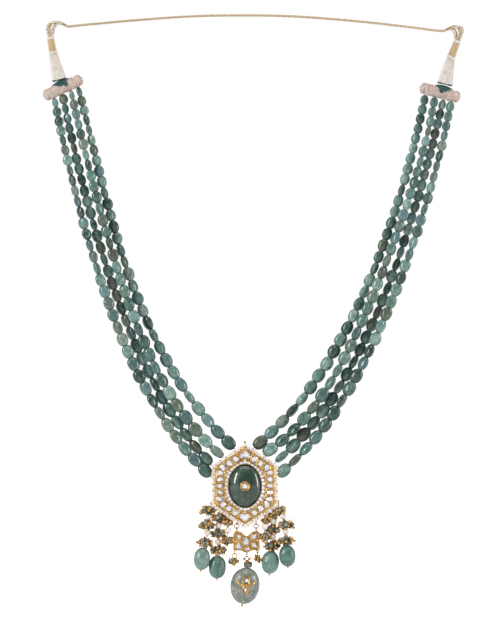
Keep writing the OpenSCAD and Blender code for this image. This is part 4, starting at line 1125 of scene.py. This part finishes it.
def centre_collet():
    """Round collet let into the middle of the centre stone, with a round flat-cut stone."""
    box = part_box("centre_collet")
    front = min(c[1] for c in box) / MM
    gold, gem = Soup(), Soup()
    c = at_y(FRAME_C, front + 0.25)
    ring(gold, c, 2.62, 0.5, (0, 1, 0), 40, 10)
    ring(gold, c + (0, -0.1, 0), 1.98, 0.16, (0, 1, 0), 36, 6)
    stone(gem, [FRAME_C + 2.05 * heading(a) for a in around(12, 0.5)], front + 0.75, 1.15, 640, 0.55)
    gem.piece("collet_stone", [POLKI], slot="polki", replaces=["centre_polki"], flat=True)
    gold.piece("collet_rim", [GOLD], slot="gold")


centre_collet()

# Plaque
HOOK_Y = -75.4
PLAQUE_X = 1.0
PLAQUE_HALF = [(1.4, -337.5), (3.4, -335.6), (6.6, -334.3), (8.2, -335.8), (8.6, -338.4), (8.2, -341.4),
               (8.4, -344.2), (8.7, -346.2), (7.4, -347.3), (5.4, -346.9), (3.2, -347.2), (1.4, -348.2)]
PLAQUE_FRONT = HOOK_Y - 1.2
# Corners of the plaque's stones
PLAQUE_STONES = [
    [(0.5, -338.3), (2.9, -340.2), (2.8, -342.2), (1.8, -343.9), (-0.3, -343.8), (-1.5, -341.8),
     (-1.2, -339.8)],
    [(-6.3, -337.2), (-3.6, -336.8), (-1.7, -338.1), (-3.8, -340.9)],
    [(3.6, -338), (5.9, -336.6), (8.3, -336.1), (7.8, -338.5), (5.6, -340.5)],
    [(-3.7, -342), (-1.9, -343.8), (-2, -346), (-4.2, -346.8), (-6.2, -345.4), (-5.3, -343.4)],
    [(4.5, -342.6), (6.4, -342.1), (8.2, -344.4), (7.3, -345.4), (4.2, -345.1)],
    [(2.3, -344.9), (3, -346.3), (1.4, -347.9), (-0.2, -347.2), (-0.3, -346), (0.9, -345.3)],
    [(-6.2, -340.9), (-5.4, -341.7), (-6.2, -342.5), (-7, -341.7)],
    [(8.5, -339.4), (8.6, -342), (7, -340.7)]]


def pebble(at, w, h, turn, narrow, n=12):
    """Outline of an oval that narrows to its top, turned by some degrees."""
    a = around(n, 0.5)
    x, z = w / 2 * np.cos(a) * (1 - narrow * np.sin(a)), h / 2 * np.sin(a)
    t = math.radians(turn)
    return np.array(at) + np.stack([x * math.cos(t) - z * math.sin(t), x * math.sin(t) + z * math.cos(t)], 1)


def cut_corners(corners, least=10):
    """Closed outline with its corners cut off until it has enough sides."""
    p = np.array(corners, float)
    while len(p) < least:
        n = np.roll(p, -1, axis=0)
        p = np.stack([mix(p, n, 0.22), mix(p, n, 0.78)], 1).reshape(-1, 2)
    return p


def plaque_looks():
    """Stones of the plaque with two rims each, and the wire round its edge."""
    gems, gold = Soup(), Soup()
    for i, corners in enumerate(PLAQUE_STONES):
        outline = cut_corners(corners)
        c = outline.mean(0)
        stone(gems, outline, PLAQUE_FRONT + 0.15, 1.0, 500 + i, 0.55, -0.14)
        away = (outline - c) / np.linalg.norm(outline - c, axis=1)[:, None]
        for grow, r, out in ((0.16, 0.22, 0.12), (0.6, 0.16, 0.02)):
            tube(gold, at_y(cut_corners(outline + away * grow, 20), PLAQUE_FRONT - out), r, 6, closed=True)
    rim = [(PLAQUE_X, -338)] + [(PLAQUE_X - a, z) for a, z in PLAQUE_HALF] + [(PLAQUE_X, -348.6)]
    rim += [(PLAQUE_X + a, z) for a, z in PLAQUE_HALF[::-1]]
    run = edge_run(np.array(rim, float), 0.9)
    c = run.mean(0)
    run = run + (c - run) / np.linalg.norm(c - run, axis=1)[:, None] * 0.25
    tube(gold, at_y(run, PLAQUE_FRONT + 0.05), 0.36, 7, closed=True)
    gems.piece("plaque_stones", [POLKI], "plaque", "polki", ["plaque_polki"], flat=True)
    gold.piece("plaque_rims", [GOLD_FOIL], "plaque", "gold")


plaque_looks()

# Clusters of seed beads and side drops
SEED_BEAD = emerald_paint(
    "seed_bead", stops((0, 18, 32, 30), (0.28, 56, 82, 75), (0.56, 106, 134, 126), (1, 172, 188, 182)),
    srgb(96, 88, 70), srgb(120, 136, 140), flecks=0.74)
# Tiers of a cluster: share of its beads, height of the tier from -1 to 1
TIERS = [(0.32, 0.0), (0.24, 0.5), (0.24, -0.5), (0.1, 0.9), (0.1, -0.9)]


def cluster(beads, gold, at, wide, tall, seed, full=6.4, grain=1.36, rings=True):
    """Bush of seed beads on coiled gold wires all round, each held by a gold ball."""
    at = np.asarray(at, float)
    count = full * wide
    size0 = min(grain, wide * 0.34)
    k = 0
    for part, level in TIERS:
        n = max(int(round(part * count)), 2)
        for j in range(n):
            k += 1
            c = {i: chance(seed + k, i) for i in range(81, 91)}
            q = 2 * math.pi * (j + 0.8 * chance(seed, k) + 0.5 * (level > 0)) / n + chance(seed, 7) * 6
            z = level + 0.3 * (c[81] - 0.5)
            round_r = math.sqrt(max(1 - z * z, 0.08))
            out = np.array((wide * round_r * math.cos(q), wide * round_r * math.sin(q), tall * z))
            out *= 0.8 + 0.34 * c[82]
            reach = np.linalg.norm(out)
            d = out / reach
            size = size0 * (0.78 + 0.3 * c[83])
            f = basis(d)
            tint = 0.5 if c[85] > 0.75 else (-0.7 if c[85] < 0.36 else 0.0)
            look = (c[84] ** 1.1, tint, chance(seed, k + 30))
            ball(beads, at + d * (reach - size), (size, size, size * 0.84), 9, 6, f, look=look)
            if c[90] > 0.22:
                ball(gold, at + d * (reach + 0.1), 0.5 + 0.42 * c[86] ** 1.5, 9, 6, f)
            coil(gold, at + d * 0.3, at + d * max(reach - size * 1.6, 0.9), 0.56, 0.26, 3, 4, 8)
            if rings and k % 3 == 0:
                lean = (c[87] - 0.5, c[88] - 0.5, 0.6)
                ring(gold, at + out * (0.62 + 0.36 * c[89]), 1.0, 0.3, np.cross(d, lean), 12, 5)
    coil(gold, at + (0, 0, tall * 0.6), at - (0, 0, tall * 0.6), 0.9, 0.3, 4)


HOOK, CLUSTER, JEWEL, STONE_TOP, PIN_END = range(5)
PEARL_R = 2.12
# The pearls stand this far before their wire
PEARL_LEAD = 0.9
# Down each side drop: what is there and its place, and the radius of a cluster or carved stone
DROPS = {
    "a": [(HOOK, (-21.2, HOOK_Y, -316.6)), (CLUSTER, (-23.4, -76, -321.6), 3.7),
          (JEWEL, (-23.2, -76, -325.5)), (CLUSTER, (-24.3, -76, -331), 4), (JEWEL, (-24.1, -76, -335.9)),
          (CLUSTER, (-25.2, -76, -342.1), 4), (STONE_TOP, (-26.8, -76.2, -345.4), 5.1),
          (PIN_END, (-28.4, -76.2, -360.4))],
    "b": [(HOOK, (-15.7, HOOK_Y, -322.7)), (CLUSTER, (-16.6, -74.8, -326.3), 3.6),
          (JEWEL, (-17, -74.6, -331.1)), (CLUSTER, (-17.3, -74.6, -336.3), 3.9),
          (JEWEL, (-17.3, -74.6, -341.6)), (CLUSTER, (-17.3, -74.6, -347.1), 4.1),
          (STONE_TOP, (-17.5, -73.2, -350.6), 5.5), (PIN_END, (-18.1, -72.8, -366))],
    "c": [(HOOK, (-11.4, HOOK_Y, -325.3)), (CLUSTER, (-11.2, HOOK_Y, -329.2), 2.7),
          (JEWEL, (-11, HOOK_Y, -334.2)), (CLUSTER, (-11.5, HOOK_Y, -340.9), 3.1)],
    "d": [(HOOK, (13.1, HOOK_Y, -324.3)), (CLUSTER, (13.2, -75.9, -328.2), 2.4),
          (JEWEL, (12.5, -77.2, -332.1)), (CLUSTER, (12.4, -77.5, -338.2), 3.1)],
    "e": [(HOOK, (18, HOOK_Y, -321.2)), (CLUSTER, (18.1, -74.8, -324.9), 2.6),
          (JEWEL, (18.2, -74, -328.6)), (CLUSTER, (17.8, -73.6, -334.1), 3.7),
          (JEWEL, (17.8, -73.6, -338.6)), (CLUSTER, (17.5, -73.6, -344.5), 4.1),
          (STONE_TOP, (16.9, -73.6, -347.6), 5.6), (PIN_END, (15.4, -73.6, -362.9))],
    "f": [(HOOK, (21.2, HOOK_Y, -315.8)), (CLUSTER, (22.2, -75.8, -321.8), 3.4),
          (JEWEL, (24.2, -75.8, -325.1)), (CLUSTER, (26.6, -75.8, -330.7), 3.9),
          (JEWEL, (25.9, -75.8, -335.1)), (CLUSTER, (26, -75.8, -340.8), 4.1),
          (STONE_TOP, (26.7, -75.8, -343.7), 5.2), (PIN_END, (27.5, -75.8, -358.2))],
}
HOOK_R = 0.9
# Reach of a side drop's wires over the radius of its cluster
SPREAD = 1.28
# Tone and tint of the carved stones, which hang between the last two places of their drop
MELON_LOOK = {"a": (0.78, -0.12), "b": (0.42, 0.0), "e": (0.8, 0.4), "f": (0.4, 0.1)}


def melon(name, top, foot, wide, tone, tint):
    """Carved drop: an oval stone with fine grooves from end to end."""
    soup = Soup()
    half = np.linalg.norm(top - foot) / 2
    f = basis(top - foot)
    ribs, per, rows = 26, 6, 40
    n = ribs * per
    q = around(n)
    pts = []
    for z in -np.cos(np.linspace(0.05, math.pi - 0.05, rows)):
        r = wide * (1 - abs(z) ** 2.25) ** (1 / 2.05)
        groove = np.abs(np.sin(q * ribs / 2 + 0.35 * z)) ** 0.7
        rr = r * (1.0 + 0.018 * groove) * (1 + 0.012 * np.cos(3 * q + 2 * z))
        pts.append(oval(q, rr, rr, z * half))
    local = np.concatenate(pts)
    look = (tone, tint, ord(name) * 0.11)
    soup.add((top + foot) / 2 + local @ f.T, skin(rows, n), look=look, spot=local)
    soup.piece(f"melon_{name}", [CARVED], ROOT, "emerald", [f"emerald_{name}"])


def side_drop(name, row):
    """A side drop: its wires with clusters, its pearls, and the carved stone at its foot."""
    beads, gold, pearls = Soup(), Soup(), Soup()
    hook = np.array(row[0][1], float)
    ring(gold, hook - (0, 0, HOOK_R), HOOK_R, 0.24, (1, 0, 0), 20, 7)
    line = [hook - (0, 0, 2 * HOOK_R)] + [np.array(r[1]) for r in row[1:]]
    for a, b in zip(line[:-1], line[1:]):
        tube(gold, [a, b], 0.24, 6)
    for i, (kind, at, *r) in enumerate(row):
        at = np.array(at)
        seed = ord(name) * 17 + i * 5
        if kind == CLUSTER:
            cluster(beads, gold, at, r[0] * SPREAD, min(r[0] * 0.98, 3.4), seed)
        if kind == JEWEL:
            tall = PEARL_R * (0.94 + 0.05 * chance(seed, 61))
            look = (0.4, 0, chance(seed, 62))
            ball(pearls, at - (0, PEARL_LEAD, 0), (PEARL_R, PEARL_R, tall), 28, 18, look=look)
            # A small ring at each end of the pearl
            for s in (-1, 1):
                ring(gold, at + (0, 0, s * (PEARL_R + 0.05)), 0.5, 0.2, (0, 0, 1), 14, 6)
        if kind == PIN_END:
            ball(gold, at, 0.62, 12, 8)
            ball(gold, at - (0, 0, 0.65), (0.4, 0.4, 0.35), 10, 6)
    # Two linked rings between the hook and the first bead
    for k in range(2):
        ring(gold, hook + (0.5 * (k - 0.5), -0.3, -0.5 - 1.3 * k), 0.85, 0.2, (0.4 + k, 0.6, 0.2), 16, 6)
    beads.piece(f"seed_beads_{name}", [SEED_BEAD], slot="emerald")
    gold.piece(f"drop_wire_{name}", [GOLD_BEAD], slot="gold", replaces=[f"wire_{name}"])
    pearls.piece(f"drop_pearls_{name}", [PEARL], slot="pearl", replaces=[f"pearls_{name}"])
    if name in MELON_LOOK:
        top, foot, wide = np.array(row[-2][1]), np.array(row[-1][1]), row[-2][2]
        up = unit(top - foot)
        melon(name, top + up * 0.25, foot + up * 0.5, wide, *MELON_LOOK[name])


for name, row in DROPS.items():
    side_drop(name, row)


def corner_drops():
    """Two small clusters on rings at the plaque's lower corners."""
    rings, beads, gold = Soup(), Soup(), Soup()
    left, left_foot = np.array((-6.7, HOOK_Y, -350.6)), np.array((-6.7, HOOK_Y, -354.4))
    right, right_foot = np.array((8, HOOK_Y, -349.6)), np.array((7.8, HOOK_Y, -353.4))
    big = 1.5
    for at, foot, normal in ((left, left_foot, (0, 1, 0)), (right, right_foot, (1, 0, 0))):
        ring(rings, at, big, 0.36, normal, 32, 8)
        tube(gold, [at - (0, 0, big), foot], 0.26, 6)
    rings.piece("corner_drop_rings", [GOLD_WIRE], "plaque", "gold")
    cluster(beads, gold, left_foot + (-0.5, 0, 0.3), 3.6, 2.2, 811, 4.6, 1.3, False)
    cluster(beads, gold, right_foot + (0.6, 0, 1.1), 2.7, 2.7, 823, 5.4, 1.15, False)
    beads.piece("seed_beads_corners", [SEED_BEAD], "plaque", "emerald")
    gold.piece("corner_drop_wires", [GOLD_BEAD], "plaque", "gold", ["corner_drop_left", "corner_drop_right"])


corner_drops()

# Main drop
MAIN_C = np.array((0, HOOK_Y, -369.7))
MAIN_HALF = (9.4, 6.6, 11.9)
LEAN = math.radians(8.3)
MAIN_UP = np.array((math.sin(LEAN), 0, math.cos(LEAN)))
MAIN_SIDE = np.array((math.cos(LEAN), 0, -math.sin(LEAN)))
INLAY_DROPS = [((0.8, -365.9), 4.6, 7.2, 0, 0.5), ((0.4, -372.1), 4.6, 5.8, 172, 0.5)]
INLAY_ARMS = [((0.2, -369.2), (-4.8, -363.6), 2.2), ((1.2, -369.2), (7, -365), -1.7)]
INLAY_STONE = 0.48
# Places over the top of the main drop: beads beside the bail, end of the wire that stands out
BAIL_BEADS = [(1.9, -0.5, 1.7), (-1.9, 0.4, 1.8), (1.3, 1.3, 2.0), (-1.2, -1.4, 1.5)]
WIRE_TIP = (*(heading(math.pi * 1.75 + 0.7) * 2.5), 0.7)


def on_main(x, z, out=0.0):
    """Spot on the main drop's front over a place in the front view."""
    d = np.array((x, 0, z)) - (MAIN_C[0], 0, MAIN_C[2])
    a, c = np.dot(d, MAIN_SIDE) / MAIN_HALF[0], np.dot(d, MAIN_UP) / MAIN_HALF[2]
    return (x, MAIN_C[1] - MAIN_HALF[1] * math.sqrt(max(1 - a * a - c * c, 0.02)) - out, z)


def main_stone():
    """The large carved drop, with very fine grooves from end to end."""
    soup = Soup()
    ribs, per, rows = 30, 5, 46
    n = ribs * per
    q = around(n)
    f = np.stack([MAIN_SIDE, (0, 1.0, 0), MAIN_UP], axis=1)
    pts = []
    for z in np.cos(np.linspace(0.04, math.pi - 0.04, rows)):
        r = (1 - abs(z) ** 2.08) ** 0.5
        groove = np.abs(np.sin(q * ribs / 2 + 0.3 * z))
        rr = r * (0.99 + 0.01 * groove ** 0.6)
        pts.append(oval(q, rr * MAIN_HALF[0], rr * MAIN_HALF[1], z * MAIN_HALF[2]))
    local = np.concatenate(pts)
    soup.add(MAIN_C + local @ f.T, skin(rows, n, flip=True), look=(0.6, -0.25, 0.7), spot=local)
    soup.piece("main_emerald_carved", [MAIN_STONE], "main_drop", "emerald", ["main_emerald"])


def main_inlay():
    """Raised gold on the large drop: two pears with a stone each, and two bowed arms."""
    gold, gems = Soup(), Soup()
    sides = 28
    for i, (at, w, h, turn, narrow) in enumerate(INLAY_DROPS):
        def loop(grow, out):
            return [on_main(x, z, out) for x, z in pebble(at, w + grow, h + grow, turn, narrow, sides)]
        tube(gold, loop(-0.7, 0.4), 0.46, 8, closed=True)
        tube(gold, loop(-1.7, 0.6), 0.2, 8, closed=True)
        rows = [loop(0.0, -0.2), loop(-0.5, 0.35), loop(-1.7, 0.3)]
        gold.add(np.array(rows).reshape(-1, 3), [ring_quads(3, sides)], look=(0.5, 0, 0))
        outline = pebble(at, w * INLAY_STONE, h * INLAY_STONE, turn, narrow)
        stone(gems, outline, on_main(*at)[1] - 0.3, 0.75, 700 + i, 0.5, -0.04)
    for a, b, bow in INLAY_ARMS:
        d = np.subtract(b, a)
        side = unit((-d[1], d[0]))
        steps = np.linspace(0, 1.0, 15)
        run = [on_main(*(a + d * t + side * bow * 4 * t * (1 - t)), 0.2) for t in steps]
        tube(gold, run, mix(0.66, 0.3, steps ** 1.6), 8)
    gold.piece("inlay_rims", [GOLD], "main_drop", "gold", ["main_inlay"])
    gems.piece("inlay_stones", [POLKI], "main_drop", "polki", ["inlay_polki"], flat=True)


def main_cap():
    """Seed beads on the top of the large drop and beside its bail, with their wires."""
    beads, wire = Soup(), Soup()
    cap = MAIN_C + MAIN_UP * (MAIN_HALF[2] + 0.9)
    for k, a in enumerate(around(8) + 0.3):
        p = cap + (1.85 * math.cos(a), 1.85 * math.sin(a), 0.2 + 0.3 * (k % 2))
        ball(beads, p, (1.08, 1.08, 1.0), 9, 6, look=(0.12 + 0.5 * chance(k, 91), 0.3, chance(k, 92)))
    for k, at in enumerate(BAIL_BEADS):
        look = (0.1 + 0.5 * chance(k, 93), -0.2, chance(k, 94))
        ball(beads, cap + at, (1.1, 1.1, 0.95), 9, 6, look=look)
    tip = cap + WIRE_TIP
    tube(wire, [cap + (0, 0, 0.5), tip], 0.18, 5)
    ball(wire, tip, 0.42, 8, 5)
    coil(wire, cap + (0, 0, 1.2), cap - (0, 0, 0.2), 0.8, 0.22, 2.5)
    beads.piece("seed_beads_main", [SEED_BEAD], "main_drop", "emerald")
    wire.piece("main_drop_wires", [GOLD], "main_drop", "gold")


main_stone()
main_inlay()
main_cap()

# CAD pieces that stay
CAD_PAINTS = {"frame": GOLD, "centre_collet": GOLD, "plaque": GOLD, "centre_emerald": CENTRE,
              "ring_left": GOLD_WIRE, "ring_right": GOLD_WIRE, "tip_ring": GOLD_WIRE, "bail": GOLD_WIRE}
for name, paint in CAD_PAINTS.items():
    slots = NODES[name].data.materials
    slots.clear()
    slots.append(paint)

# Floor, lights and world
FLOOR = -0.43
floor_mesh = bpy.data.meshes.new("floor")
floor_mesh.from_pydata([(-6, -6, FLOOR), (6, -6, FLOOR), (6, 8, FLOOR), (-6, 8, FLOOR)], [], [(0, 1, 2, 3)])
floor = bpy.data.objects.new("floor", floor_mesh)
scene.collection.objects.link(floor)
pale = Paint("floor_pale", Roughness=0.9)
pale_grain = pale.noise(pale.place(1.0), 1.5)
pale.to("Base Color", pale.ramp(pale_grain, stops((0.3, 246, 246, 246), (0.7, 250, 250, 250))))
pale.shader.inputs["Emission Color"].default_value = (1, 1, 1, 1)
pale_seen = pale.put("LightPath").outputs["Is Camera Ray"]
pale.to("Emission Strength", pale.math("ADD", pale.math("MULTIPLY", pale_seen, 0.75), 0.1))
floor_mesh.materials.append(pale.m)


def softbox(name, at, aim, size, power):
    """Rectangular light at a place, turned to another."""
    data = bpy.data.lights.new(name, "AREA")
    data.shape, data.size, data.size_y, data.energy = "RECTANGLE", size[0], size[1], power
    obj = bpy.data.objects.new(name, data)
    d = unit(np.array(aim) - np.array(at))
    up = unit(np.array((0, 0, 1.0)) - d * d[2])
    side = np.cross(d, up)
    obj.matrix_world = Matrix([[side[i], up[i], -d[i], at[i]] for i in range(3)] + [[0, 0, 0, 1]])
    scene.collection.objects.link(obj)


MIDDLE = (0.0, -0.07, -0.22)
softbox("key_left", (-1.5, -1.2, 0.45), MIDDLE, (0.26, 1.1), 21)
softbox("key_right", (1.75, -0.6, 0.1), MIDDLE, (0.3, 1.3), 15)
softbox("top", (0.0, -0.6, 1.5), MIDDLE, (1.6, 1.0), 10)
softbox("back", (0.0, 1.6, 0.6), MIDDLE, (1.6, 1.0), 10)

# Light of the white surroundings on the piece, beside 1 for the plain view of them
WORLD_LIGHT = 0.29
world = bpy.data.worlds.new("studio")
scene.world = world
world.use_nodes = True
wt = world.node_tree
bg = wt.nodes["Background"]
seen = wt.nodes.new("ShaderNodeLightPath")
level = wt.nodes.new("ShaderNodeMix")
level.data_type = "FLOAT"
level.inputs[2].default_value, level.inputs[3].default_value = WORLD_LIGHT, 1.0
wt.links.new(seen.outputs["Is Camera Ray"], level.inputs[0])
bg.inputs["Color"].default_value = (1, 1, 1, 1)
wt.links.new(level.outputs[0], bg.inputs["Strength"])
scene.view_settings.view_transform = "Standard"
